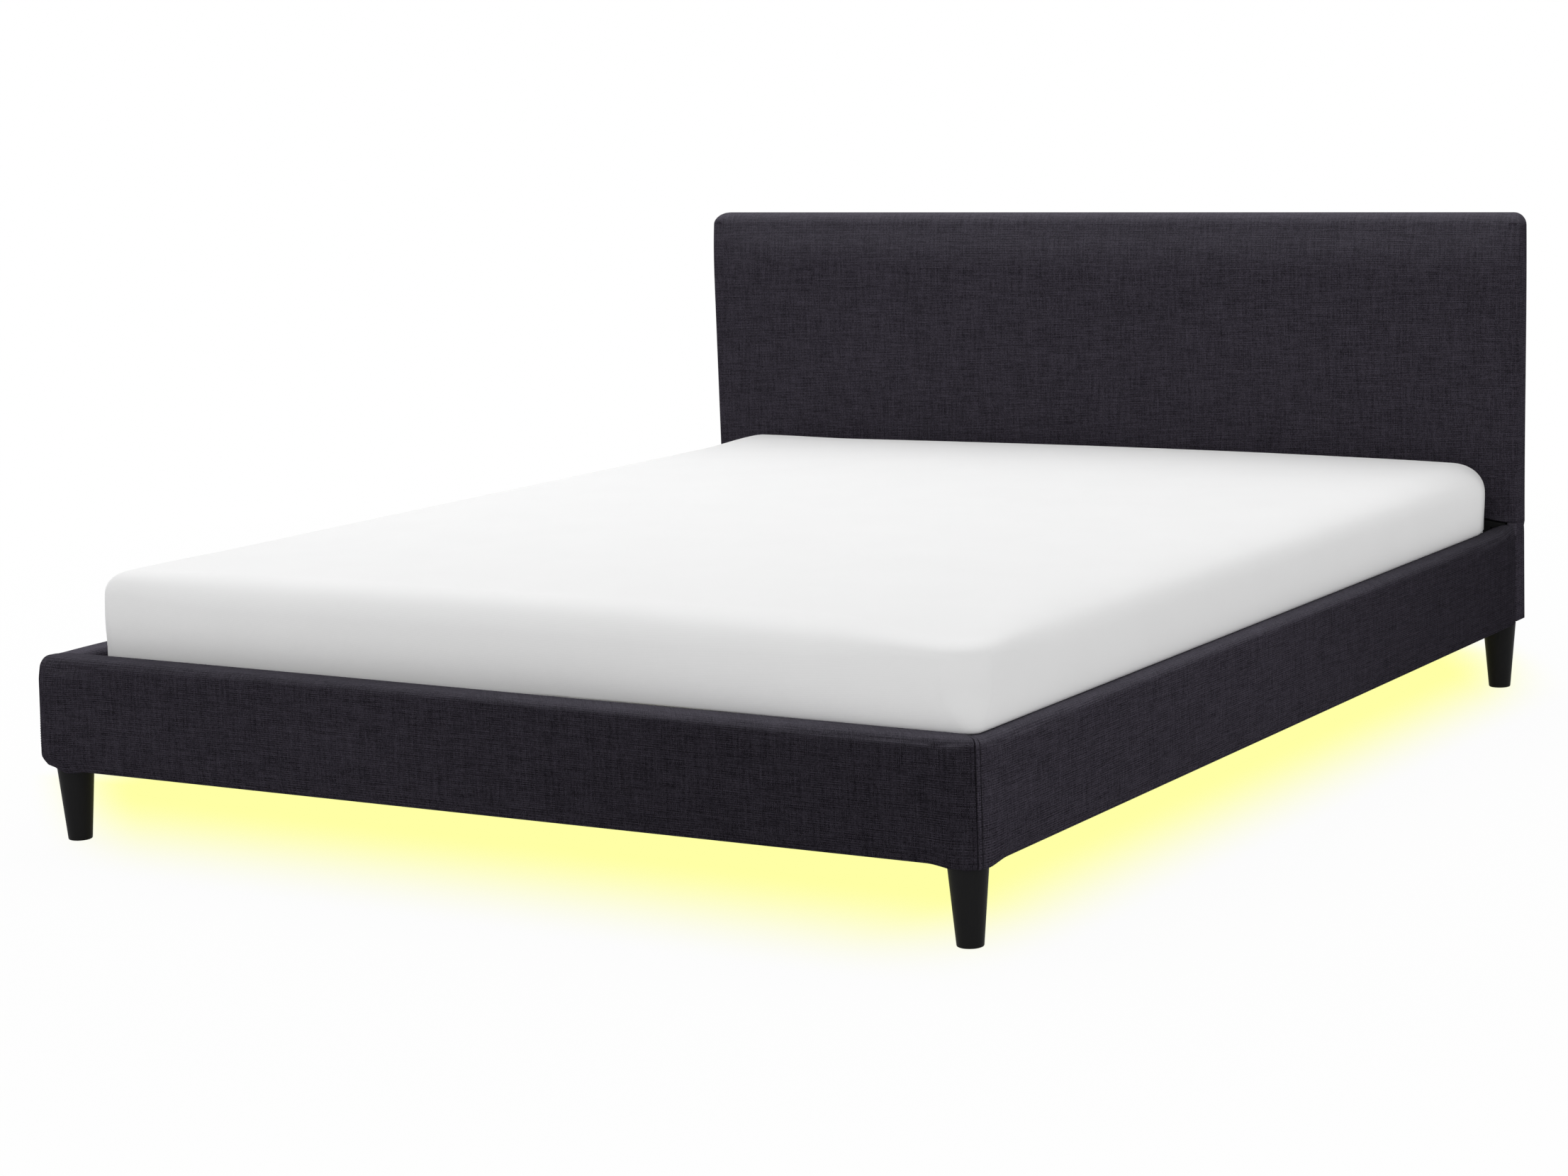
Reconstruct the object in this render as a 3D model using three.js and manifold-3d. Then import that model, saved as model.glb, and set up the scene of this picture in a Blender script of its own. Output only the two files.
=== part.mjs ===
// An upholstered double bed: padded headboard and rails on boards, tapered legs, a sprung slat base on a centre
// beam, light strips under the rails and a mattress. Millimetres, +Z up, the head end towards +Y, the origin on
// the floor under the middle of the bed.
import * as THREE from "three";
import { mergeVertices } from "three/addons/utils/BufferGeometryUtils.js";
import Module from "manifold-3d";

const wasm = await Module();
wasm.setup();

// Overall sizes
const bedWidth = 1760;
const bedLength = 2130;
const headboardTop = 890;
const railHeight = 181;
const railThickness = 50;
const headboardThickness = 50;
const headboardLift = 5;

// Clearances
const seat = 0.3;
const mitreGap = 0.3;
const overrun = 2;
const weldTolerance = 1e-3;

// Rail build-up, from the outer face inwards
const railOuterPad = 16;
const railInnerWrap = 7;
const railTopPad = 12;
const railUnderFabric = 3;
const railInnerTurn = 55;
const railTopRadius = 18;
const railInnerRadius = 10;
const railBottomRadius = 9;
const railCornerRadius = 22;

// Headboard build-up, from the front to the back
const headFrontPad = 14;
const headFrontCrown = 3;
const headCrownReach = 150;
const headBackWrap = 2.5;
const headBackFold = 45;
const headSidePad = 7;
const headTopPad = 13;
const headUnderFabric = 3;
const headBoardRadius = 17;
const headCornerRadius = 25;
const headFrontRadius = 12;
const headBackRadius = 6;
const headFootRadius = 8;
const liningThickness = 1.2;
const liningInset = 14;

// Legs and their threaded fixings
const legHeight = 124;
const legTopRadius = 30.5;
const legBottomRadius = 20;
const legFootBevel = 1.5;
const legSideInset = 39;
const legFootInset = 35;
const legHeadInset = 31;
const studRadius = 4;
const studInLeg = 28;
const studInBoard = 24;
const studPlay = 0.5;
const flangeRadius = 15;

// Slat base
const slatRows = 13;
const slatWidth = 53;
const slatThickness = 8;
const slatArch = 8;
const slatTopDrop = 62;
const slatInsert = 32;
const slatPlay = 0.4;
const holderWall = 2.5;
const ledgeWidth = 28;
const ledgeHeight = 30;
const centreWeb = 6;
const beamWidth = 50;
const beamHeight = 40;
const beamWall = 2.5;

// Steel brackets, beam shoes and beam legs
const bracketArm = 62;
const bracketHeight = 80;
const bracketSheet = 3;
const bracketDrop = 20;
const ledgeEndSpace = 6;
const boltHeadRadius = 6.5;
const boltHeadHeight = 4.5;
const shoeLength = 45;
const shoeCheek = 30;
const shoeEar = 25;
const beamLegRadius = 15;
const beamLegSpacing = 720;
const beamGlideRadius = 24;
const beamGlideHeight = 10;
const beamSpindleRadius = 5;
const beamSpindleShow = 14;
const beamLegPlate = 3;
const beamLegPlateLength = 90;

// Light strips and their controller
const stripThickness = 7;
const stripHeight = 12;
const stripDomeRise = 3;
const stripEndSpace = 16;
const controllerLength = 92;
const controllerHeight = 34;
const controllerDepth = 22;
const controllerRadius = 4;
const controllerFromHead = 150;
const inletRadius = 3;
const inletDepth = 9;
const inletCollarRadius = 6;
const inletCollarLength = 4;

// Mattress
const mattressLeftPlay = 33;
const mattressRightPlay = 1.5;
const mattressFootPlay = 10;
const mattressHeadPlay = 1.5;
const mattressThickness = 192;
const mattressCrown = 9;
const mattressCornerRadius = 30;
const mattressEdgeReach = 46;
const mattressEdgeDrop = 38;
const mattressUnderRadius = 18;
const mattressDrawnIn = 3;

// Facets of each round form
const edgeSteps = 4;
const cornerSteps = 4;
const legSides = 24;
const boltSides = 6;
const studSides = 12;
const archSteps = 8;

// Heights and places worked out from the sizes
const halfWidth = bedWidth / 2;
const halfLength = bedLength / 2;
const railBottom = legHeight;
const railTop = railBottom + railHeight;
const boardOuter = railOuterPad;
const boardInner = railThickness - railInnerWrap;
const boardBottom = railBottom + railUnderFabric;
const boardTop = railTop - railTopPad;
const sideRailLength = bedLength - headboardThickness - seat;
const headboardBottom = railBottom + headboardLift;
const headboardHeight = headboardTop - headboardBottom;
const slatTop = railTop - slatTopDrop;
const slatEndBottom = slatTop - slatArch - slatThickness;
const carrierTop = slatEndBottom - slatPlay - holderWall;
const beamBottom = carrierTop - beamHeight;
const bracketBottom = carrierTop - bracketDrop - bracketHeight + ledgeHeight / 2;
const ledgeStart = boardInner + seat + bracketArm + ledgeEndSpace;
const ledgeEnd = sideRailLength - bracketArm - ledgeEndSpace;
const holderWidth = slatWidth + 2 * (slatPlay + holderWall);
const holderHeight = slatThickness + 2 * (slatPlay + holderWall);
const rowPitch = (ledgeEnd - ledgeStart - holderWidth) / (slatRows - 1);

const finishes = {
  cover: { color: 0x2e2b31, roughness: 0.95, metalness: 0 },
  lining: { color: 0x121213, roughness: 0.9, metalness: 0 },
  board: { color: 0xb08d62, roughness: 0.8, metalness: 0 },
  leg: { color: 0x18181a, roughness: 0.45, metalness: 0 },
  slat: { color: 0xd9bd92, roughness: 0.55, metalness: 0 },
  holder: { color: 0x2a2a2c, roughness: 0.5, metalness: 0 },
  steel: { color: 0x3a3b3d, roughness: 0.4, metalness: 1 },
  strip: { color: 0xffffaa, roughness: 0.4, metalness: 0 },
  housing: { color: 0xe8e8e6, roughness: 0.4, metalness: 0 },
  mattress: { color: 0xf2f2f2, roughness: 0.9, metalness: 0 },
};
const materials = {};
for (const [name, values] of Object.entries(finishes)) {
  materials[name] = new THREE.MeshStandardMaterial(values);
}

// Closed solids

// Six times the volume that the triangles enclose, negative where they face inwards.
function signedVolume(positions, triangles) {
  const a = new THREE.Vector3();
  const b = new THREE.Vector3();
  const c = new THREE.Vector3();
  let sum = 0;
  for (let i = 0; i < triangles.length; i += 3) {
    a.fromArray(positions, 3 * triangles[i]);
    b.fromArray(positions, 3 * triangles[i + 1]);
    c.fromArray(positions, 3 * triangles[i + 2]);
    sum += a.dot(b.cross(c));
  }
  return sum;
}

// A geometry as a solid: shared vertices merged, empty triangles dropped and faces turned outwards.
function solidOf(geometry) {
  const bare = geometry.index ? geometry.toNonIndexed() : geometry.clone();
  bare.deleteAttribute("normal");
  bare.deleteAttribute("uv");
  const welded = mergeVertices(bare, weldTolerance);
  const positions = welded.attributes.position.array;
  const corners = welded.index.array;
  const triangles = [];
  for (let i = 0; i < corners.length; i += 3) {
    const [a, b, c] = corners.slice(i, i + 3);
    if (a !== b && b !== c && c !== a) triangles.push(a, b, c);
  }
  if (signedVolume(positions, triangles) < 0) triangles.reverse();
  const mesh = new wasm.Mesh({
    numProp: 3,
    vertProperties: Float32Array.from(positions),
    triVerts: Uint32Array.from(triangles),
  });
  return new wasm.Manifold(mesh);
}

function geometryOf(solid) {
  const mesh = solid.getMesh();
  return new THREE.BufferGeometry()
    .setAttribute("position", new THREE.BufferAttribute(mesh.vertProperties, 3))
    .setIndex(new THREE.BufferAttribute(mesh.triVerts, 1));
}

// A named mesh of a solid.
function piece(name, solid, material) {
  const mesh = new THREE.Mesh(geometryOf(solid), material);
  mesh.name = name;
  return mesh;
}

// A box between two corners.
function block(low, high) {
  const size = high.map((value, axis) => value - low[axis]);
  const middle = high.map((value, axis) => (value + low[axis]) / 2);
  return solidOf(new THREE.BoxGeometry(...size).translate(...middle));
}

// An upright cylinder standing at a place, or a prism when it has few sides.
function rod(radius, low, high, x, y, sides) {
  const cylinder = new THREE.CylinderGeometry(radius, radius, high - low, sides);
  return solidOf(cylinder.rotateX(Math.PI / 2).translate(x, y, (low + high) / 2));
}

// A profile of [radius, height] points turned about the upright axis.
function turned(profile, sides) {
  const points = profile.map(([radius, height]) => new THREE.Vector2(radius, height));
  return solidOf(new THREE.LatheGeometry(points, sides).rotateX(Math.PI / 2));
}

// A skin through rings of equally many points, with a flat cap of the contour's shape at both ends.
function lofted(rings, contour) {
  const count = contour.length;
  const corners = [];
  for (let ring = 0; ring < rings.length - 1; ring += 1) {
    for (let i = 0; i < count; i += 1) {
      const a = ring * count + i;
      const b = ring * count + ((i + 1) % count);
      corners.push(a, b, b + count, a, b + count, a + count);
    }
  }
  const last = (rings.length - 1) * count;
  const flat = contour.map(([u, v]) => new THREE.Vector2(u, v));
  for (const [a, b, c] of THREE.ShapeUtils.triangulateShape(flat, [])) {
    corners.push(c, b, a, last + a, last + b, last + c);
  }
  const geometry = new THREE.BufferGeometry();
  geometry.setAttribute("position", new THREE.Float32BufferAttribute(rings.flat(2), 3));
  geometry.setIndex(corners);
  return solidOf(geometry);
}

// Points of an arc about [u, v], from one angle to another in degrees.
function arc(u, v, radius, from, to, steps) {
  const points = [];
  for (let step = 0; step <= steps; step += 1) {
    const angle = THREE.MathUtils.degToRad(from + ((to - from) * step) / steps);
    points.push([u + radius * Math.cos(angle), v + radius * Math.sin(angle)]);
  }
  return points;
}

// Rails

// The padded cover round a rail board, as [depth from the outer face, height] points: it starts under the board,
// turns up the outer face, over the top and down the inner face.
function coverSection() {
  const innerEnd = railTop - railInnerTurn;
  const innerEdge = railThickness - railInnerRadius;
  return [
    [boardInner, railBottom],
    [boardInner, boardBottom - seat],
    [boardOuter - seat, boardBottom - seat],
    [boardOuter - seat, boardTop + seat],
    [boardInner + seat, boardTop + seat],
    [boardInner + seat, innerEnd],
    [railThickness, innerEnd],
    ...arc(innerEdge, railTop - railInnerRadius, railInnerRadius, 0, 90, edgeSteps),
    ...arc(railTopRadius, railTop - railTopRadius, railTopRadius, 90, 180, edgeSteps),
    ...arc(railBottomRadius, railBottom + railBottomRadius, railBottomRadius, 180, 270, edgeSteps),
  ];
}

function boardSection() {
  return [
    [boardOuter, boardBottom],
    [boardInner, boardBottom],
    [boardInner, boardTop],
    [boardOuter, boardTop],
  ];
}

// The rings that end a bar, as [distance from the end, depth, height]. A mitred end is cut at 45 degrees, and what
// lies nearer the outer face than the corner radius turns half of the corner.
function endRings(section, mitred) {
  if (!mitred) return [section.map(([depth, height]) => [0, depth, height])];
  const rings = [];
  for (let step = cornerSteps; step >= 0; step -= 1) {
    const angle = ((Math.PI / 4) * step) / cornerSteps;
    rings.push(
      section.map(([depth, height]) => {
        const left = railCornerRadius - depth;
        if (left <= 0) return [mitreGap + depth, depth, height];
        const along = railCornerRadius - left * Math.sin(angle);
        return [mitreGap + along, railCornerRadius - left * Math.cos(angle), height];
      }),
    );
  }
  return rings;
}

// A bar along X with its outer face on Y = 0, mitred at its start and, where asked, at its far end.
function mitredBar(section, length, mitredFarEnd) {
  const near = endRings(section, true);
  const far = endRings(section, mitredFarEnd).reverse();
  const turnedRound = far.map((ring) => ring.map(([end, depth, height]) => [length - end, depth, height]));
  return lofted([...near, ...turnedRound], section);
}

function legHole(x, y) {
  return rod(flangeRadius + seat, railBottom - overrun, boardBottom + overrun, x, y, legSides);
}

function studHole(x, y, bottom) {
  const top = bottom + studInBoard + studPlay;
  return rod(studRadius + studPlay, bottom - overrun, top, x, y, studSides);
}

// The foot rail, in a group whose X runs from the left corner and whose Y runs into the bed.
function footRail() {
  const group = new THREE.Group();
  group.position.set(-halfWidth, -halfLength, 0);
  let cover = mitredBar(coverSection(), bedWidth, true);
  let board = mitredBar(boardSection(), bedWidth, true);
  for (const x of [legSideInset, bedWidth - legSideInset]) {
    cover = cover.subtract(legHole(x, legFootInset));
    board = board.subtract(studHole(x, legFootInset, boardBottom));
  }
  group.add(piece("foot_rail_cover", cover, materials.cover));
  group.add(piece("foot_rail_board", board, materials.board));
  group.add(piece("led_strip_foot", lightStrip(bedWidth - 2 * (boardInner + stripEndSpace)), materials.strip));
  group.children.at(-1).position.set(boardInner + stripEndSpace, boardInner + seat, boardBottom);
  return group;
}

function sideRail(group, side) {
  const cover = mitredBar(coverSection(), sideRailLength, false);
  const board = mitredBar(boardSection(), sideRailLength, false);
  const coverHole = legHole(legFootInset, legSideInset);
  const boardHole = studHole(legFootInset, legSideInset, boardBottom);
  group.add(piece("side_rail_cover_" + side, cover.subtract(coverHole), materials.cover));
  group.add(piece("side_rail_board_" + side, board.subtract(boardHole), materials.board));
  const stripLength = sideRailLength - boardInner - 2 * stripEndSpace;
  const strip = piece("led_strip_" + side, lightStrip(stripLength), materials.strip);
  strip.position.set(boardInner + stripEndSpace, boardInner + seat, boardBottom);
  group.add(strip);
}

// A light strip along X: flat on the board behind it, with a domed lens that faces the middle of the floor.
function lightStrip(length) {
  const lens = [];
  for (let step = 0; step <= edgeSteps; step += 1) {
    const share = step / edgeSteps;
    const rise = stripDomeRise * Math.sin(Math.PI * share);
    lens.push([stripThickness - stripDomeRise + rise, stripHeight * share]);
  }
  const section = [[0, stripHeight], [0, 0], ...lens];
  const rings = [0, length].map((x) => section.map(([y, z]) => [x, y, z]));
  return lofted(rings, section);
}

// Headboard

// The headboard's outline drawn in by an inset, as [x, z] points from its lower left corner.
function headOutline(inset) {
  const side = halfWidth - inset;
  const low = inset;
  const high = headboardHeight - inset;
  const upper = Math.max(headCornerRadius - inset, headFootRadius);
  const lower = Math.max(headFootRadius - inset, headFootRadius / 2);
  return [
    ...arc(lower - side, low + lower, lower, 180, 270, edgeSteps),
    ...arc(side - lower, low + lower, lower, 270, 360, edgeSteps),
    ...arc(side - upper, high - upper, upper, 0, 90, edgeSteps + 1),
    ...arc(upper - side, high - upper, upper, 90, 180, edgeSteps + 1),
  ];
}

// The headboard's board or its pocket, between two depths: square below, rounded upper corners, grown by a gap.
function headBoardForm(gap, front, back) {
  const half = halfWidth - headSidePad + gap;
  const low = headUnderFabric - gap;
  const high = headboardHeight - headTopPad + gap;
  const rounded = headBoardRadius + gap;
  const outline = [
    [-half, low],
    [half, low],
    ...arc(half - rounded, high - rounded, rounded, 0, 90, edgeSteps),
    ...arc(rounded - half, high - rounded, rounded, 90, 180, edgeSteps),
  ];
  return lofted([front, back].map((y) => outline.map(([x, z]) => [x, y, z])), outline);
}

// The padded form: rounded back edges, square sides, rounded front edges and a slight crown in front.
function headPad() {
  const back = -(liningThickness + seat);
  const front = headFrontCrown - headboardThickness;
  const layers = [];
  for (let step = 0; step <= edgeSteps; step += 1) {
    const angle = ((Math.PI / 2) * step) / edgeSteps;
    layers.push([headBackRadius * (1 - Math.sin(angle)), back - headBackRadius * (1 - Math.cos(angle))]);
  }
  for (let step = edgeSteps; step >= 0; step -= 1) {
    const angle = ((Math.PI / 2) * step) / edgeSteps;
    layers.push([headFrontRadius * (1 - Math.sin(angle)), front + headFrontRadius * (1 - Math.cos(angle))]);
  }
  for (let step = 1; step <= edgeSteps; step += 1) {
    const share = step / edgeSteps;
    const rise = headFrontCrown * Math.sin((Math.PI / 2) * share);
    layers.push([headFrontRadius + headCrownReach * share, front - rise]);
  }
  const rings = layers.map(([inset, y]) => headOutline(inset).map(([x, z]) => [x, y, z]));
  return lofted(rings, headOutline(0));
}

// The headboard, in a group whose Y = 0 is its back and whose Z = 0 is its bottom.
function headboard() {
  const group = new THREE.Group();
  group.position.set(0, halfLength, headboardBottom);
  const boardHalf = halfWidth - headSidePad;
  const boardHigh = headboardHeight - headTopPad;
  const pocketBack = -(liningThickness + seat + headBackWrap);
  const pocketFront = headFrontPad - headboardThickness;
  const foldHalf = boardHalf - headBackFold;
  const lowerHalf = halfWidth - railThickness - seat;
  const lowerHigh = railTop - headboardBottom;
  const legX = halfWidth - legSideInset;

  let board = headBoardForm(0, pocketFront + seat, pocketBack - seat);
  let cover = headPad()
    .subtract(headBoardForm(seat, pocketFront, pocketBack))
    .subtract(
      block(
        [-foldHalf, pocketBack - overrun, headUnderFabric + headBackFold],
        [foldHalf, overrun, boardHigh - headBackFold],
      ),
    )
    .subtract(
      block(
        [-lowerHalf, -headboardThickness - overrun, -overrun],
        [lowerHalf, pocketFront + overrun, lowerHigh],
      ),
    );
  let lowerPanel = block(
    [seat - lowerHalf, -headboardThickness, 0],
    [lowerHalf - seat, pocketFront, lowerHigh - seat],
  );
  for (const x of [-legX, legX]) {
    const flange = rod(flangeRadius + seat, -overrun, headUnderFabric, x, -legHeadInset, legSides);
    cover = cover.subtract(flange);
    lowerPanel = lowerPanel.subtract(flange);
    board = board.subtract(studHole(x, -legHeadInset, headUnderFabric));
  }
  const lining = block(
    [liningInset - halfWidth, -liningThickness, liningInset],
    [halfWidth - liningInset, 0, headboardHeight - liningInset],
  );
  group.add(piece("headboard_board", board, materials.board));
  group.add(piece("headboard_cover", cover, materials.cover));
  group.add(piece("headboard_lower_panel", lowerPanel, materials.lining));
  group.add(piece("headboard_back_lining", lining, materials.lining));
  return group;
}

// Legs

// A tapered leg with a blind hole for its stud, standing on its origin.
function leg() {
  const hole = studRadius + studPlay;
  const holeBottom = legHeight - studInLeg - studPlay;
  return turned(
    [
      [0, 0],
      [legBottomRadius - legFootBevel, 0],
      [legBottomRadius, legFootBevel],
      [legTopRadius, legHeight - seat],
      [hole, legHeight - seat],
      [hole, holeBottom],
      [0, holeBottom],
    ],
    legSides,
  );
}

// A threaded stud with a flange between the leg and the board above it.
function fixing(flangeTop) {
  return turned(
    [
      [0, legHeight - studInLeg],
      [studRadius, legHeight - studInLeg],
      [studRadius, legHeight],
      [flangeRadius, legHeight],
      [flangeRadius, flangeTop],
      [studRadius, flangeTop],
      [studRadius, flangeTop + studInBoard],
      [0, flangeTop + studInBoard],
    ],
    studSides,
  );
}

function legs(group, side) {
  const places = [
    ["front", legFootInset, boardBottom - seat],
    ["rear", bedLength - legHeadInset, headboardBottom + headUnderFabric - seat],
  ];
  for (const [end, along, flangeTop] of places) {
    const name = end + "_" + side;
    const standing = piece("leg_" + name, leg(), materials.leg);
    const stud = piece("leg_fixing_" + name, fixing(flangeTop), materials.steel);
    standing.position.set(along, legSideInset, 0);
    stud.position.set(along, legSideInset, 0);
    group.add(standing, stud);
  }
}

// Brackets

// A bolt head that stands out of a plate, along X or along Y.
function boltHead(x, y, z, alongX) {
  const head = new THREE.CylinderGeometry(boltHeadRadius, boltHeadRadius, 2 * boltHeadHeight, boltSides);
  if (alongX) head.rotateZ(Math.PI / 2);
  return solidOf(head.translate(x, y, z));
}

// A steel angle with its corner at the origin, one arm along +X and one along +Y, and a bolt row on each arm.
function angleBracket() {
  const outline = [
    [0, 0],
    [bracketArm, 0],
    [bracketArm, bracketSheet],
    [bracketSheet, bracketSheet],
    [bracketSheet, bracketArm],
    [0, bracketArm],
  ];
  const rings = [0, bracketHeight].map((z) => outline.map(([x, y]) => [x, y, z]));
  let bracket = lofted(rings, outline);
  const out = bracketArm / 2 + bracketSheet;
  for (const z of [bracketHeight / 4, (bracketHeight * 3) / 4]) {
    const onX = boltHead(out, bracketSheet, z, false);
    const onY = boltHead(bracketSheet, out, z, true);
    bracket = bracket.add(onX).add(onY);
  }
  const behind = boltHeadHeight + boltHeadRadius;
  return bracket
    .subtract(block([-behind, -behind, -overrun], [0, bracketArm + overrun, bracketHeight + overrun]))
    .subtract(block([-behind, -behind, -overrun], [bracketArm + overrun, 0, bracketHeight + overrun]));
}

function brackets(group, side) {
  const corner = piece("corner_bracket_" + side, angleBracket(), materials.steel);
  corner.position.set(boardInner + seat, boardInner + seat, bracketBottom);
  const head = piece("headboard_bracket_" + side, angleBracket(), materials.steel);
  head.position.set(sideRailLength, boardInner + seat, bracketBottom);
  head.rotation.z = Math.PI / 2;
  group.add(corner, head);
}

// Slat base

// A sprung slat along X: flat ends in the holders and a shallow arch between them.
function slat(length) {
  const rings = [];
  const ring = (x, rise) => {
    const half = slatWidth / 2;
    const low = rise;
    const high = rise + slatThickness;
    rings.push([[x, -half, low], [x, half, low], [x, half, high], [x, -half, high]]);
  };
  ring(0, 0);
  for (let step = 0; step <= archSteps; step += 1) {
    const share = step / archSteps;
    const across = 2 * share - 1;
    ring(slatInsert + (length - 2 * slatInsert) * share, slatArch * (1 - across * across));
  }
  ring(length, 0);
  return lofted(rings, rings[0].map(([, y, z]) => [y, z]));
}

// Where a slat starts and ends, as depths from the rail's outer face.
const slatStart = boardInner + seat + holderWall + slatPlay;
const slatEnd = halfWidth - centreWeb / 2 - slatPlay;

// One holder cap, in a group frame whose X runs along the rail and whose Y crosses the bed, open from low to high.
function holder(along, low, high, openLow, openHigh) {
  const half = holderWidth / 2;
  const top = carrierTop + holderHeight;
  const cap = block([along - half, low, carrierTop - overrun], [along + half, high, top]);
  const slot = block(
    [along - half + holderWall, openLow, carrierTop + holderWall],
    [along + half - holderWall, openHigh, top - holderWall],
  );
  return [cap, slot];
}

function rowPlaces() {
  return Array.from({ length: slatRows }, (_, row) => ledgeStart + holderWidth / 2 + row * rowPitch);
}

// The batten on a side rail, with a cap for each slat's outer end.
function ledge(group, side) {
  const low = boardInner + seat;
  const capEnd = slatStart + slatInsert;
  let batten = block([ledgeStart, low, carrierTop - ledgeHeight], [ledgeEnd, low + ledgeWidth, carrierTop]);
  for (const along of rowPlaces()) {
    const [cap, slot] = holder(along, low, capEnd, low + holderWall, capEnd + overrun);
    batten = batten.add(cap).subtract(slot);
  }
  group.add(piece("slat_ledge_" + side, batten, materials.holder));
}

function slats(group, side) {
  const solid = slat(slatEnd - slatStart);
  rowPlaces().forEach((along, row) => {
    const name = "slat_" + side + "_" + String(row + 1).padStart(2, "0");
    const mesh = piece(name, solid, materials.slat);
    mesh.position.set(along, slatStart, slatEndBottom);
    mesh.rotation.z = Math.PI / 2;
    group.add(mesh);
  });
}

// The centre beam, in a group whose X runs from the foot end and whose Y = 0 is the middle of the bed.
function centreBeam() {
  const group = new THREE.Group();
  group.position.set(0, -halfLength, 0);
  group.rotation.z = Math.PI / 2;
  const low = boardInner + 2 * seat + bracketSheet;
  const high = sideRailLength - seat - bracketSheet;
  const half = beamWidth / 2;
  let beam = block([low, -half, beamBottom], [high, half, carrierTop]);
  const bore = block(
    [low - overrun, beamWall - half, beamBottom + beamWall],
    [high + overrun, half - beamWall, carrierTop - beamWall],
  );
  beam = beam.subtract(bore);
  const reach = centreWeb / 2 + slatPlay + slatInsert;
  for (const along of rowPlaces()) {
    for (const turn of [-1, 1]) {
      const near = (turn * centreWeb) / 2;
      const far = turn * (reach + overrun);
      const [cap, slot] = holder(along, -reach, reach, Math.min(near, far), Math.max(near, far));
      beam = (turn < 0 ? beam.add(cap) : beam).subtract(slot);
    }
  }
  group.add(piece("centre_beam", beam, materials.steel));
  return group;
}

// A sheet-steel shoe that carries one end of the beam: a back plate with ears and a U under the beam, in a frame
// whose X points away from its wall and whose Z = 0 is the beam's underside.
function beamShoe() {
  const inner = beamWidth / 2 + seat;
  const outer = inner + bracketSheet;
  const floor = -seat - bracketSheet;
  const plate = block([0, -outer - shoeEar, floor], [bracketSheet, outer + shoeEar, shoeCheek]);
  const trough = block([0, -outer, floor], [shoeLength, outer, shoeCheek]);
  const bed = block([bracketSheet, -inner, -seat], [shoeLength + overrun, inner, shoeCheek + overrun]);
  let shoe = plate.add(trough).subtract(bed);
  for (const y of [-outer - shoeEar / 2, outer + shoeEar / 2]) {
    shoe = shoe.add(boltHead(bracketSheet, y, shoeCheek / 2, true));
  }
  return shoe.subtract(
    block([-2 * boltHeadHeight, -outer - shoeEar, floor], [0, outer + shoeEar, shoeCheek + overrun]),
  );
}

function beamShoes() {
  const group = new THREE.Group();
  const foot = piece("beam_shoe_foot", beamShoe(), materials.steel);
  foot.position.set(0, boardInner + seat - halfLength, beamBottom);
  foot.rotation.z = Math.PI / 2;
  const head = piece("beam_shoe_head", beamShoe(), materials.steel);
  head.position.set(0, halfLength - headboardThickness - seat, beamBottom);
  head.rotation.z = -Math.PI / 2;
  group.add(foot, head);
  return group;
}

// A tube under the beam with a plate on top and a screw-in glide at the floor.
function beamLeg() {
  const tubeBottom = beamGlideHeight + beamSpindleShow;
  const plateTop = beamBottom - seat;
  const plateBottom = plateTop - beamLegPlate;
  const post = turned(
    [
      [0, 0],
      [beamGlideRadius - legFootBevel, 0],
      [beamGlideRadius, legFootBevel],
      [beamGlideRadius, beamGlideHeight / 2],
      [beamSpindleRadius * 2, beamGlideHeight],
      [beamSpindleRadius, beamGlideHeight],
      [beamSpindleRadius, tubeBottom],
      [beamLegRadius, tubeBottom],
      [beamLegRadius, plateBottom + beamLegPlate / 2],
      [0, plateBottom + beamLegPlate / 2],
    ],
    legSides,
  );
  const plate = block(
    [-beamWidth / 2, -beamLegPlateLength / 2, plateBottom],
    [beamWidth / 2, beamLegPlateLength / 2, plateTop],
  );
  return post.add(plate);
}

function beamLegs() {
  const group = new THREE.Group();
  for (const [end, turn] of [["front", -1], ["rear", 1]]) {
    const post = piece("beam_leg_" + end, beamLeg(), materials.steel);
    post.position.y = (turn * beamLegSpacing) / 2;
    group.add(post);
  }
  return group;
}

// The controller of the light strips, on the inner face of a side rail board: a rounded housing with its inlet.
function controller(group) {
  const rounded = controllerRadius;
  const outline = [
    ...arc(rounded, rounded, rounded, 180, 270, edgeSteps),
    ...arc(controllerDepth - rounded, rounded, rounded, 270, 360, edgeSteps),
    ...arc(controllerDepth - rounded, controllerHeight - rounded, rounded, 0, 90, edgeSteps),
    ...arc(rounded, controllerHeight - rounded, rounded, 90, 180, edgeSteps),
  ];
  const rings = [0, controllerLength].map((x) => outline.map(([y, z]) => [x, y, z]));
  const middleY = controllerDepth / 2;
  const middleZ = controllerHeight / 2;
  const collar = new THREE.CylinderGeometry(inletCollarRadius, inletCollarRadius, 2 * inletCollarLength, studSides);
  collar.rotateZ(Math.PI / 2).translate(controllerLength, middleY, middleZ);
  const bore = new THREE.CylinderGeometry(inletRadius, inletRadius, 2 * inletDepth, studSides);
  bore.rotateZ(Math.PI / 2).translate(controllerLength + inletCollarLength, middleY, middleZ);
  const housing = lofted(rings, outline).add(solidOf(collar)).subtract(solidOf(bore));
  const mesh = piece("led_controller", housing, materials.housing);
  const start = sideRailLength - controllerFromHead - controllerLength;
  mesh.position.set(start, boardInner + seat, boardBottom + 2 * stripHeight);
  group.add(mesh);
}

// Mattress

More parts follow.
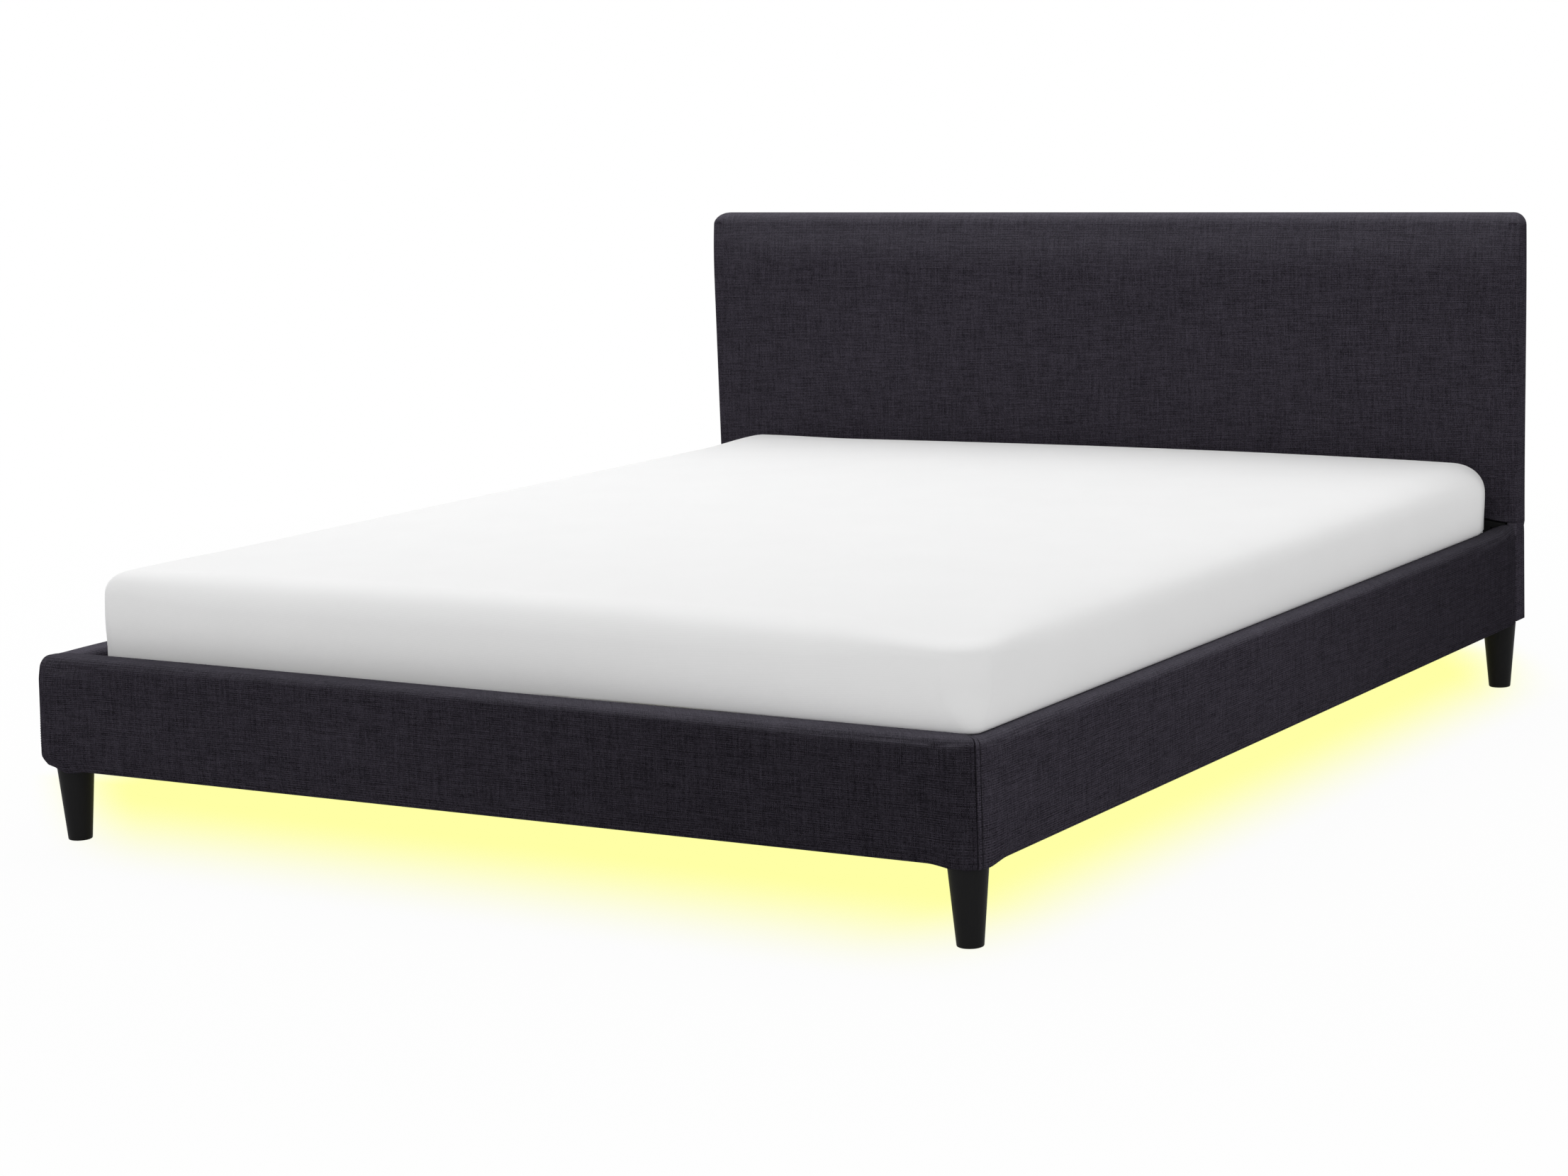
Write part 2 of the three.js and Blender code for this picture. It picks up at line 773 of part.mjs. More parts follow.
// The mattress outline drawn in by an inset, as [x, y] points about its middle from the right-hand side.
function mattressOutline(inset) {
  const x = (bedWidth - 2 * railThickness - mattressLeftPlay - mattressRightPlay) / 2 - inset;
  const y = (bedLength - headboardThickness - railThickness - mattressFootPlay - mattressHeadPlay) / 2 - inset;
  const radius = Math.max(mattressCornerRadius - inset / 2, mattressCornerRadius / 4);
  const points = [
    ...arc(x - radius, y - radius, radius, 0, 90, edgeSteps),
    ...arc(radius - x, y - radius, radius, 90, 180, edgeSteps),
    ...arc(radius - x, radius - y, radius, 180, 270, edgeSteps),
    ...arc(x - radius, radius - y, radius, 270, 360, edgeSteps),
  ];
  return points;
}

// Flat below, sides drawn in a little at half height, a wide soft upper edge and a crowned top.
function mattress() {
  const layers = [];
  for (let step = 0; step <= edgeSteps; step += 1) {
    const angle = ((Math.PI / 2) * step) / edgeSteps;
    const inset = mattressUnderRadius * (1 - Math.sin(angle));
    layers.push([inset, mattressUnderRadius * (1 - Math.cos(angle))]);
  }
  const shoulder = mattressThickness - mattressEdgeDrop;
  layers.push([mattressDrawnIn, (mattressUnderRadius + shoulder) / 2]);
  const edge = 2 * edgeSteps;
  for (let step = 0; step <= edge; step += 1) {
    const angle = ((Math.PI / 2) * step) / edge;
    const inset = mattressEdgeReach * (1 - Math.cos(angle));
    layers.push([inset, shoulder + mattressEdgeDrop * Math.sin(angle)]);
  }
  const flatInset = halfWidth / 2;
  for (let step = 1; step <= edgeSteps; step += 1) {
    const share = step / edgeSteps;
    const rise = mattressCrown * Math.sin((Math.PI / 2) * share);
    layers.push([mattressEdgeReach + (flatInset - mattressEdgeReach) * share, mattressThickness + rise]);
  }
  const rings = layers.map(([inset, z]) => mattressOutline(inset).map(([x, y]) => [x, y, z]));
  const mesh = piece("mattress", lofted(rings, mattressOutline(0)), materials.mattress);
  const middleX = (mattressLeftPlay - mattressRightPlay) / 2;
  const middleY = (railThickness - headboardThickness + mattressFootPlay - mattressHeadPlay) / 2;
  mesh.position.set(middleX, middleY, slatTop + seat);
  return mesh;
}

// Assembly

// One side of the bed, in a group whose X runs from the foot end and whose Y runs in from the side rail's face.
// The left side is its mirror image.
function bedSide(side) {
  const frame = new THREE.Group();
  frame.position.set(halfWidth, -halfLength, 0);
  frame.rotation.z = Math.PI / 2;
  sideRail(frame, side);
  legs(frame, side);
  brackets(frame, side);
  ledge(frame, side);
  slats(frame, side);
  if (side === "right") controller(frame);
  const mirror = new THREE.Group();
  mirror.scale.x = side === "right" ? 1 : -1;
  mirror.add(frame);
  return mirror;
}

const bed = new THREE.Group();
bed.add(headboard(), footRail(), bedSide("left"), bedSide("right"));
bed.add(centreBeam(), beamShoes(), beamLegs(), mattress());

export default bed;
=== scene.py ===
"""An upholstered double bed with light strips under its rails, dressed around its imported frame.

Every length is in metres. The head end lies towards +Y, the floor is Z = 0 and the origin is under the bed's middle.
"""

import logging
from dataclasses import dataclass, field
from enum import Enum
from math import pi

import bmesh
import bpy
import numpy as np
from mathutils import Matrix, Vector


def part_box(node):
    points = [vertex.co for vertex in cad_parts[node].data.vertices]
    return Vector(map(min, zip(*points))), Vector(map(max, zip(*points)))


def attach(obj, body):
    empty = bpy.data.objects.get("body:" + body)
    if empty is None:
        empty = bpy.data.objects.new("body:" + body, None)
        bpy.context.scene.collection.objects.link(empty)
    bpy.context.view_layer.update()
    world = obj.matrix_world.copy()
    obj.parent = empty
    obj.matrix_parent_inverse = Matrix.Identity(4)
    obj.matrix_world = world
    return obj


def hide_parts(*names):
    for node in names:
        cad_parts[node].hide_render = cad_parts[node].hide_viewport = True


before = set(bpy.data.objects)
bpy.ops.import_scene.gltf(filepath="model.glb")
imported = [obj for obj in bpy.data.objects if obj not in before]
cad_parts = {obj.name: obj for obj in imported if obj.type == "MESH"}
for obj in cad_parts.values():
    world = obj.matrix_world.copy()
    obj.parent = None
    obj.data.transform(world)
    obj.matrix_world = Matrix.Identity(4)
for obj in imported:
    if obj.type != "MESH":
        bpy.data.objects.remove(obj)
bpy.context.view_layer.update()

LOG = logging.getLogger("bed")
BED = "frame"
Array = np.ndarray
Pair = tuple[float, float]
Triple = tuple[float, float, float]
Arrays = tuple[Array, Array]
Row = tuple[float, ...]
Counts = tuple[int, ...]
Stretches = tuple[tuple[float, float, int], ...]
Colour = Triple
Material = bpy.types.Material
Piece = bpy.types.Object


def shade(red: float, green: float, blue: float) -> Colour:
    """A colour given as 0 to 255 screen values, as linear light by the sRGB curve.

    Args:
        red, green, blue: The screen values.

    Returns:
        The linear colour.
    """
    screen = np.array([red, green, blue]) / 255
    light = np.where(screen <= 0.04045, screen / 12.92, ((screen + 0.055) / 1.055) ** 2.4)
    return tuple(float(value) for value in light)


def scaled(colour: Colour, factor: float) -> Colour:
    """A colour with each of its parts times a factor."""
    return tuple(factor * value for value in colour)


def between(first: "Array | Value | float", last: "Array | Value | float", share: "Array | Value") -> "Array | Value":
    """The value at a share of the way from the first to the last."""
    return first + (last - first) * share


def ease(share: Array | float) -> Array:
    """3 t^2 - 2 t^3, held at 0 before t = 0 and at 1 past t = 1."""
    held = np.clip(share, 0, 1)
    return held * held * (3 - 2 * held)


def ramp(value: Array, over: Pair) -> Array:
    """An eased step that starts at the first number and takes the second one to reach 1."""
    return ease((value - over[0]) / over[1])


def quarter(steps: int) -> Arrays:
    """A quarter turn t in equal steps: 1 - cos t, which goes from 0 to 1, and 1 - sin t, which goes from 1 to 0."""
    turn = np.linspace(0, pi / 2, steps + 1)
    return 1 - np.cos(turn), 1 - np.sin(turn)


def cubic_weights(targets: Array, knots: Array) -> Array:
    """How much each knot counts at each target: Catmull-Rom between the two knots on each side of it.

    Args:
        targets: Where values are wanted.
        knots: Where values are known, rising.

    Returns:
        One row for each target and one column for each knot.
    """
    place = np.interp(targets, knots, np.arange(len(knots)))
    low = np.clip(np.floor(place).astype(int), 0, len(knots) - 2)
    part = place - low
    shares = (
        (-(part**3) + 2 * part**2 - part) / 2,
        (3 * part**3 - 5 * part**2 + 2) / 2,
        (-3 * part**3 + 4 * part**2 + part) / 2,
        (part**3 - part**2) / 2,
    )
    weights = np.zeros((len(targets), len(knots)))
    rows = np.arange(len(targets))
    for step, share in zip((-1, 0, 1, 2), shares):
        np.add.at(weights, (rows, np.clip(low + step, 0, len(knots) - 1)), share)
    return weights


def run(*legs: tuple[float, float, int]) -> Array:
    """Rising places along a line, none twice: each leg goes from a start to an end in so many equal steps."""
    places = [np.linspace(start, end, steps + 1) for start, end, steps in legs]
    return np.unique(np.round(np.concatenate(places), 7))


# Meshes


@dataclass
class Skin:
    """Point grids and the faces between them, gathered into one closed mesh."""

    points: list[Array] = field(default_factory=list)
    cloth: list[Array] = field(default_factory=list)
    faces: list[Array] = field(default_factory=list)
    count: int = 0
    weld: float = 2e-6

    def add(self, points: Array, cloth: Array | None = None) -> Array:
        """Takes in a grid of points.

        Args:
            points: An array whose last axis is x, y, z.
            cloth: The cloth coordinates of the same grid, if the finish follows them.

        Returns:
            The points' numbers, in the grid's own shape.
        """
        flat = points.reshape(-1, 3)
        numbers = np.arange(self.count, self.count + len(flat)).reshape(points.shape[:-1])
        self.count += len(flat)
        self.points.append(flat)
        self.cloth.append(np.zeros((len(flat), 2)) if cloth is None else cloth.reshape(-1, 2))
        return numbers

    def sheet(self, numbers: Array, closed: bool = False) -> None:
        """Faces between neighbours in a grid of point numbers.

        Args:
            numbers: Rows and columns of point numbers.
            closed: Whether the last column joins the first.
        """
        grid = np.concatenate([numbers, numbers[:, :1]], axis=1) if closed else numbers
        corners = (grid[:-1, :-1], grid[1:, :-1], grid[1:, 1:], grid[:-1, 1:])
        self.faces.append(np.stack(corners, axis=-1).reshape(-1, 4))

    def make(self, name: str, finish: Material, sharp: float = 50) -> Piece:
        """The closed mesh as an object with its finish, welded and facing outwards.

        Args:
            name: The piece's name.
            finish: Its material.
            sharp: The angle in degrees past which an edge is shaded as sharp.

        Returns:
            The object.
        """
        mesh = mesh_of(name, np.concatenate(self.points), np.concatenate(self.faces), np.concatenate(self.cloth))
        face_outwards(mesh, self.weld)
        mesh.set_sharp_from_angle(angle=np.radians(sharp))
        # each point's upward share, kept for the cloth's painted highlight on up-facing surfaces
        normals = np.zeros(len(mesh.vertices) * 3, np.float32)
        mesh.vertex_normals.foreach_get("vector", normals)
        upward = mesh.attributes.new("upward", "FLOAT", "POINT")
        upward.data.foreach_set("value", np.maximum(normals[2::3], 0))
        return placed(name, mesh, finish)


def mesh_of(name: str, points: Array, faces: Array, cloth: Array | None = None) -> bpy.types.Mesh:
    """A mesh from whole arrays.

    Args:
        name: The mesh's name.
        points: One row of x, y, z for each point.
        faces: One row of point numbers for each face, all with equally many corners.
        cloth: One row of cloth coordinates for each point, kept as the UV map "cloth".

    Returns:
        The mesh.
    """
    mesh = bpy.data.meshes.new(name)
    corners = faces.shape[1]
    mesh.vertices.add(len(points))
    mesh.vertices.foreach_set("co", points.astype(np.float32).ravel())
    mesh.loops.add(faces.size)
    mesh.loops.foreach_set("vertex_index", faces.astype(np.int32).ravel())
    mesh.polygons.add(len(faces))
    mesh.polygons.foreach_set("loop_start", np.arange(0, faces.size, corners, dtype=np.int32))
    if cloth is not None:
        layer = mesh.uv_layers.new(name="cloth")
        layer.uv.foreach_set("vector", cloth[faces.ravel()].astype(np.float32).ravel())
    mesh.update(calc_edges=True)
    mesh.validate()
    return mesh


def face_outwards(mesh: bpy.types.Mesh, weld: float = 0.0) -> None:
    """Turns the faces of a mesh's closed parts outwards and shades them smooth.

    Args:
        mesh: The mesh, changed in place.
        weld: Points that are nearer to each other than this are joined.
    """
    shell = bmesh.new()
    shell.from_mesh(mesh)
    if weld:
        bmesh.ops.remove_doubles(shell, verts=shell.verts, dist=weld)
    bmesh.ops.recalc_face_normals(shell, faces=shell.faces)
    shell.to_mesh(mesh)
    shell.free()
    mesh.polygons.foreach_set("use_smooth", np.ones(len(mesh.polygons), bool))


def placed(name: str, mesh: bpy.types.Mesh, finish: Material) -> Piece:
    """An object of a mesh, in the scene at the origin, with its finish.

    Args:
        name: The object's name.
        mesh, finish: Its mesh and its material.

    Returns:
        The object.
    """
    mesh.materials.append(finish)
    piece = bpy.data.objects.new(name, mesh)
    bpy.context.scene.collection.objects.link(piece)
    return piece


def surface_normals(points: Array, inner: Array) -> Array:
    """Unit normals of a grid of points: the cross product of its two gradients, turned away from an inner grid.

    Args:
        points: The grid, two axes and x, y, z.
        inner: A grid of the same shape that lies on the surface's inner side.

    Returns:
        The normals, in the same shape.
    """
    normals = np.cross(np.gradient(points, axis=0), np.gradient(points, axis=1))
    normals /= np.maximum(np.linalg.norm(normals, axis=-1, keepdims=True), 1e-12)
    outwards = np.sign(np.sum(normals * (points - inner)))
    return normals * outwards


def coons(bottom: Array, right: Array, top: Array, left: Array) -> Array:
    """A grid inside four edges: the two ruled grids between facing edges less the one between the corners.

    Args:
        bottom, top: The lower and upper edge, from left to right.
        right, left: The edges on both sides, from below.

    Returns:
        The grid, rows from below and columns from the left.
    """
    across = np.linspace(0, 1, len(bottom))[None, :, None]
    up = np.linspace(0, 1, len(left))[:, None, None]
    rows = (1 - up) * bottom[None] + up * top[None]
    columns = (1 - across) * left[:, None] + across * right[:, None]
    lower = (1 - across) * bottom[0] + across * bottom[-1]
    upper = (1 - across) * top[0] + across * top[-1]
    return rows + columns - (1 - up) * lower - up * upper


def rim(grid: Array) -> Array:
    """The border of a grid as one loop: bottom edge, right edge, top edge back and left edge down."""
    return np.concatenate([grid[0, :-1], grid[:-1, -1], grid[-1, :0:-1], grid[:0:-1, 0]])


def unrolled(loop: Array, columns: int, rows: int) -> tuple[Array, Array, Array, Array]:
    """A border loop as the four edges that coons takes.

    Args:
        loop: The points of the loop.
        columns, rows: How many cells the grid has across and up.

    Returns:
        The bottom, right, top and left edge.
    """
    round_again = np.concatenate([loop, loop[:1]])
    bottom = round_again[: columns + 1]
    right = round_again[columns : columns + rows + 1]
    top = round_again[columns + rows : 2 * columns + rows + 1][::-1]
    left = round_again[2 * columns + rows :][::-1]
    return bottom, right, top, left


def outwards_only(move: Array, outwards: Array) -> Array:
    """A move without the part of it that goes against the outward direction."""
    inwards = np.minimum(np.sum(move * outwards, axis=-1, keepdims=True), 0)
    return move - inwards * outwards


@dataclass(frozen=True)
class Swelling:
    """How the padding pushes a cover out: a cloth run with pressure and no weight."""

    pressure: float = 3.0
    stiffness: float = 12.0
    bending: float = 0.5
    mass: float = 0.3
    quality: int = 6
    steps: int = 20

    def push(self, points: Array, faces: Array, held: Array, most: Array) -> Array:
        """Runs the cloth.

        Args:
            points: One row for each point.
            faces: One row of four point numbers for each face.
            held: True for each point that a staple or a seam holds.
            most: How far each point may move.

        Returns:
            How far each point moves.
        """
        mesh = mesh_of("swelling", points, faces)
        piece = bpy.data.objects.new("swelling", mesh)
        scene = bpy.context.scene
        scene.collection.objects.link(piece)
        group = piece.vertex_groups.new(name="held")
        group.add(np.flatnonzero(held).tolist(), 1.0, "REPLACE")
        cloth = piece.modifiers.new("cloth", "CLOTH")
        settings = cloth.settings
        settings.quality = self.quality
        settings.mass = self.mass
        settings.tension_stiffness = settings.compression_stiffness = self.stiffness
        settings.shear_stiffness = self.stiffness / 2
        settings.bending_stiffness = self.bending
        settings.use_pressure = True
        settings.uniform_pressure_force = self.pressure
        settings.vertex_group_mass = "held"
        settings.effector_weights.gravity = 0
        cloth.collision_settings.use_collision = False
        cloth.point_cache.frame_start = 1
        cloth.point_cache.frame_end = self.steps
        for step in range(1, self.steps + 1):
            scene.frame_set(step)
        swollen = piece.evaluated_get(bpy.context.evaluated_depsgraph_get())
        moved = np.zeros(points.size, np.float32)
        swollen.data.vertices.foreach_get("co", moved)
        move = moved.reshape(-1, 3) - points
        bpy.data.objects.remove(piece)
        bpy.data.meshes.remove(mesh)
        scene.frame_set(1)
        length = np.maximum(np.linalg.norm(move, axis=1), 1e-9)
        return move * np.minimum(1, most / length)[:, None]


# Shader maths


class Value:
    """An output socket with the arithmetic of numbers."""

    def __init__(self, shader: "Shader", socket: bpy.types.NodeSocket) -> None:
        """Wraps a socket of a shader."""
        self.shader = shader
        self.socket = socket

    def __add__(self, other: "Value | float") -> "Value":
        """The sum."""
        return self.shader.maths("ADD", self, other)

    __radd__ = __add__

    def __mul__(self, other: "Value | float") -> "Value":
        """The product."""
        return self.shader.maths("MULTIPLY", self, other)

    __rmul__ = __mul__

    def __sub__(self, other: "Value | float") -> "Value":
        """The difference."""
        return self.shader.maths("SUBTRACT", self, other)

    def __rsub__(self, other: float) -> "Value":
        """The difference, with the number first."""
        return self.shader.maths("SUBTRACT", other, self)

    def __truediv__(self, other: "Value | float") -> "Value":
        """The quotient."""
        return self.shader.maths("DIVIDE", self, other)

    def __rtruediv__(self, other: float) -> "Value":
        """The quotient, with the number first."""
        return self.shader.maths("DIVIDE", other, self)

    def __pow__(self, other: float) -> "Value":
        """The power."""
        return self.shader.maths("POWER", self, other)

    def __abs__(self) -> "Value":
        """The size without its sign."""
        return self.shader.maths("ABSOLUTE", self)

    def held(self) -> "Value":
        """The value, kept between 0 and 1."""
        return self.shader.maths("MINIMUM", self.shader.maths("MAXIMUM", self, 0.0), 1.0)


class Shader:
    """The nodes of a material or a world while they are put together."""

    def __init__(self, owner: Material | bpy.types.World) -> None:
        """Starts from no nodes.

        Args:
            owner: The material or world that the nodes make up.
        """
        owner.use_nodes = True
        self.owner = owner
        self.nodes = owner.node_tree.nodes
        self.links = owner.node_tree.links
        self.nodes.clear()

    @classmethod
    def named(cls, name: str) -> "Shader":
        """The nodes of a new material."""
        return cls(bpy.data.materials.new(name))

    def node(self, kind: str, settings: dict[str, object] | None = None) -> bpy.types.Node:
        """A node of a kind, with its settings.

        Args:
            kind: The node's type.
            settings: The properties that are set on it.

        Returns:
            The node.
        """
        made = self.nodes.new("ShaderNode" + kind)
        for key, value in (settings or {}).items():
            setattr(made, key, value)
        return made

    def fill(self, node: bpy.types.Node, sockets: dict[str | int, object]) -> bpy.types.Node:
        """Links or sets a node's inputs.

        Args:
            node: The node.
            sockets: A Value, a number or a colour for each input.

        Returns:
            The node.
        """
        for key, value in sockets.items():
            if isinstance(value, Value):
                self.links.new(value.socket, node.inputs[key])
            elif value is not None:
                node.inputs[key].default_value = value
        return node

    def out(
        self, kind: str, settings: dict[str, object] | None, sockets: dict[str | int, object], port: int | str = 0
    ) -> Value:
        """One output of a new node of a kind, made with its settings and with what its sockets get."""
        return Value(self, self.fill(self.node(kind, settings), sockets).outputs[port])

    def maths(self, operation: str, *operands: "Value | float") -> Value:
        """A Math node on values."""
        return self.out("Math", {"operation": operation}, dict(enumerate(operands)))

    def vector(self, x: "Value | float", y: "Value | float", z: "Value | float" = 0.0) -> Value:
        """Three values as a vector."""
        return self.out("CombineXYZ", None, {0: x, 1: y, 2: z})

    def places(self) -> tuple[Value, Value, Value]:
        """The object coordinates x, y and z."""
        place = self.out("TexCoord", None, {}, "Object")
        parts = self.fill(self.node("SeparateXYZ"), {0: place}).outputs
        return Value(self, parts[0]), Value(self, parts[1]), Value(self, parts[2])

    def cloth(self) -> tuple[Value, Value]:
        """The cloth coordinates across and along the piece."""
        place = self.out("UVMap", {"uv_map": "cloth"}, {})
        parts = self.fill(self.node("SeparateXYZ"), {0: place}).outputs
        return Value(self, parts[0]), Value(self, parts[1])

    def kept(self, name: str) -> Value:
        """A value that the mesh keeps for each of its points."""
        return self.out("Attribute", {"attribute_name": name}, {}, "Fac")

    def noise(self, place: Value, detail: float = 2.0, rough: float = 0.5, flat: bool = False) -> Value:
        """Noise from 0 to 1 whose grains are one unit of its place wide.

        Args:
            place, flat: Where it is read, and whether in two dimensions.
            detail, rough: How many finer layers it has, and how strong they are.

        Returns:
            The noise.
        """
        settings = {"noise_dimensions": "2D" if flat else "3D"}
        sockets = {"Vector": place, "Scale": 1.0, "Detail": detail, "Roughness": rough}
        return self.out("TexNoise", settings, sockets)

    def grains(self, places: tuple[Value, ...], scales: Triple, detail: float = 2.0, rough: float = 0.5) -> Value:
        """Noise by the places, each with so many grains to the metre."""
        return self.noise(self.vector(*(place * scale for place, scale in zip(places, scales))), detail, rough)

    def mix(self, share: "Value | float", first: "Value | Colour", second: "Value | Colour") -> Value:
        """A colour between two, by a share."""
        ends = [end if isinstance(end, Value) else (*end, 1.0) for end in (first, second)]
        return self.out("Mix", {"data_type": "RGBA"}, {0: share, 6: ends[0], 7: ends[1]}, 2)

    def bump(self, height: Value, distance: float, strength: float = 1.0) -> Value:
        """A bump whose height is a share of a distance."""
        return self.out("Bump", None, {"Height": height, "Distance": distance, "Strength": strength})

    def finish(
        self,
        colour: Value,
        roughness: Value | float,
        relief: Value | None,
        specular: float = 0.5,
        others: dict[str, object] | None = None,
    ) -> Material:
        """Closes the material with one surface shader.

        Args:
            colour, roughness, relief, specular: Its base colour, roughness, normal and specular level.
            others: What its other inputs get.

        Returns:
            The material.
        """
        sockets = {"Base Color": colour, "Roughness": roughness, "Normal": relief, "Specular IOR Level": specular}
        self.shown(self.out("BsdfPrincipled", None, sockets | (others or {})))
        return self.owner

    def shown(self, surface: Value) -> None:
        """Links a surface to the output of the material or the world."""
        kind = "OutputWorld" if isinstance(self.owner, bpy.types.World) else "OutputMaterial"
        self.links.new(surface.socket, self.node(kind).inputs["Surface"])


# Finishes


@dataclass(frozen=True)
class SlubWeave:
    """Near-black upholstery cloth: a plain weave whose threads each have their own uneven tone.

    Attributes:
        tone: How light the cloth is; each copy's own tone paints the light and shade that its part gets.
        seams: Where, across the cloth, a line of painted shade runs in a seam's groove.
        pitch, slub_length: The width of a thread, and the length of an uneven stretch of it.
        contrast, alternate, speck: How much the tone changes along a thread, from a thread to the next and from a
            crossing to the next.
        read_step, read_weft: How far apart in the noise neighbours and the two sets of threads are read.
        middle: The tone of an even thread, from 0 for the darkest to 1 for the lightest.
        ground_tones, top_highlight_tones: The darkest and the lightest thread, as shares of the ground colour and of
        the painted highlight's colour.
        gap, seam_shade: How far a gap, and the painted shade in a seam's groove, go towards a share of the darkest
            thread.
        top_highlight, top_highlight_from, top_highlight_power: How strong the painted highlight is where the cloth
        looks straight up, from which upward share it starts and with which power of the share it grows.
        painted_shade_axis, painted_shade_from, painted_shade_to, painted_shade_tone: Where along X or Y painted shade
            darkens the threads, and to what share of themselves.
        top_highlight_ends: The share of the painted highlight's colour at the start and at the end of that way.
    """

    name: str
    tone: float = 1.0
    seams: Row = ()
    ground: Colour = shade(48, 45, 52)
    top_highlight_colour: Colour = shade(92, 89, 98)
    pitch: float = 0.0017
    slub_length: float = 0.055
    contrast: float = 1.45
    alternate: float = 0.12
    speck: float = 0.42
    slub_roughness: float = 0.55
    read_step: float = 3.71
    read_weft: float = 41.3
    crispness: float = 2.5
    middle: float = 0.44
    cloud: float = 0.04
    cloud_scale: float = 9.0
    ground_tones: Pair = (0.34, 2.0)
    top_highlight_tones: Pair = (0.62, 1.3)
    gap: float = 0.4
    gap_tone: float = 0.25
    seam_shade: float = 0.75
    seam_shade_tone: float = 0.3
    top_highlight: float = 0.95
    top_highlight_from: float = 0.0
    top_highlight_power: float = 1.15
    seam_width: float = 0.0014
    painted_shade_axis: int = 1
    painted_shade_from: float = 0.0
    painted_shade_to: float = 1.05
    painted_shade_tone: float = 1.0
    top_highlight_ends: Pair = (1.0, 1.0)

    def threads(self, shader: Shader, across: Value, along: Value, offset: float) -> tuple[Value, Value]:
        """One set of threads.

        A thread's number is its place over the pitch, rounded down. Its tone is noise along it, read where the number
        says, and every second one is lighter. Its height is a half sine across it.

        Args:
            shader: The material's nodes.
            across, along: The cloth coordinates across the threads and along them.
            offset: Keeps the two sets apart in the noise.

        Returns:
            The tone about 0, and the height from 0 to 1.
        """
        place = across * (1 / self.pitch)
        number = shader.maths("FLOOR", place)
        read = shader.vector(number * self.read_step + offset, along * (1 / self.slub_length))
        tone = shader.noise(read, rough=self.slub_roughness, flat=True)
        other = shader.maths("COSINE", number * pi) * self.alternate
        return (tone - 0.5) * self.contrast + other, shader.maths("SINE", (place - number) * pi)

    def material(self) -> Material:
        """The warp lies over the weft where the product of two sines is positive, and the gaps between are dark.

        Each crossing has its own random tone, by the numbers of its two threads. A painted highlight lightens the cloth
        that looks up, by the share of "upward" that the mesh keeps. Painted shade darkens the threads along one axis,
        and each seam's groove gets a line of painted shade by its distance, in a straight slope.
        """
        shader = Shader.named(self.name)
        across, along = shader.cloth()
        warp, warp_height = self.threads(shader, across, along, 0.0)
        weft, weft_height = self.threads(shader, along, across, self.read_weft)
        waves = [shader.maths("SINE", place * (pi / self.pitch)) for place in (across, along)]
        over = (waves[0] * waves[1] * self.crispness + 0.5).held()
        streak = between(weft, warp, over)
        ridge = between(weft_height, warp_height, over)
        cloud = shader.noise(shader.vector(across * self.cloud_scale, along * self.cloud_scale), flat=True)
        crossing = shader.vector(*(shader.maths("FLOOR", place * (1 / self.pitch)) for place in (across, along)))
        speck = shader.out("TexWhiteNoise", {"noise_dimensions": "2D"}, {"Vector": crossing}, "Value")
        tone = (self.middle + streak + (cloud - 0.5) * self.cloud + (speck - 0.5) * self.speck).held()
        dark, light = (scaled(self.ground, share * self.tone) for share in self.ground_tones)
        threads = shader.mix(tone, dark, light)
        # painted highlight: a lighter colour for the cloth that looks up
        pale = shader.mix(tone, *(scaled(self.top_highlight_colour, share) for share in self.top_highlight_tones))
        # painted shade: the threads darken along one axis, towards a share of themselves
        share = ((shader.places()[self.painted_shade_axis] - self.painted_shade_from) * (1 / (self.painted_shade_to - self.painted_shade_from))).held()
        threads = shader.mix(share, threads, shader.mix(1 - self.painted_shade_tone, threads, (0.0, 0.0, 0.0)))
        # the painted highlight is scaled along the same way
        first, last = self.top_highlight_ends
        pale = shader.mix((1 - first) + share * (first - last), pale, (0.0, 0.0, 0.0))
        # how much painted highlight each point gets, by how far its surface looks up
        raised = ((shader.kept("upward") - self.top_highlight_from) * (1 / (1 - self.top_highlight_from))).held()
        top_highlight = (raised**self.top_highlight_power) * self.top_highlight
        colour = shader.mix((1 - ridge) * self.gap, shader.mix(top_highlight, threads, pale), scaled(dark, self.gap_tone))
        # painted shade in each seam's groove, darkest on its line
        for seam in self.seams:
            line = (1 - abs(across - seam) * (1 / self.seam_width)).held()
            colour = shader.mix(line * self.seam_shade, colour, scaled(dark, self.seam_shade_tone))
        relief = shader.bump(ridge * 0.6 + streak * 0.35, 0.0004, 0.8)
        sheen = {"Sheen Weight": 0.01, "Sheen Roughness": 0.4, "Sheen Tint": (0.8, 0.82, 1.0, 1.0)}
        return shader.finish(colour, 0.86 + warp * 0.07, relief, 0.0, sheen)


@dataclass(frozen=True)
class Thread:
    """Sewing thread, darker than the cloth, twisted along its length."""

    name: str = "sewing_thread"
    colour: Colour = shade(20, 18, 23)
    fluff: float = 2.2
    twist: Triple = (2500, 2500, 2500)

    def material(self) -> Material:
        """Fine noise stands for the twist and the fluff."""
        shader = Shader.named(self.name)
        twist = shader.grains(shader.places(), self.twist, 1.0)
        colour = shader.mix(twist, self.colour, scaled(self.colour, self.fluff))
        return shader.finish(colour, 0.75, shader.bump(twist, 0.0001), 0.2)


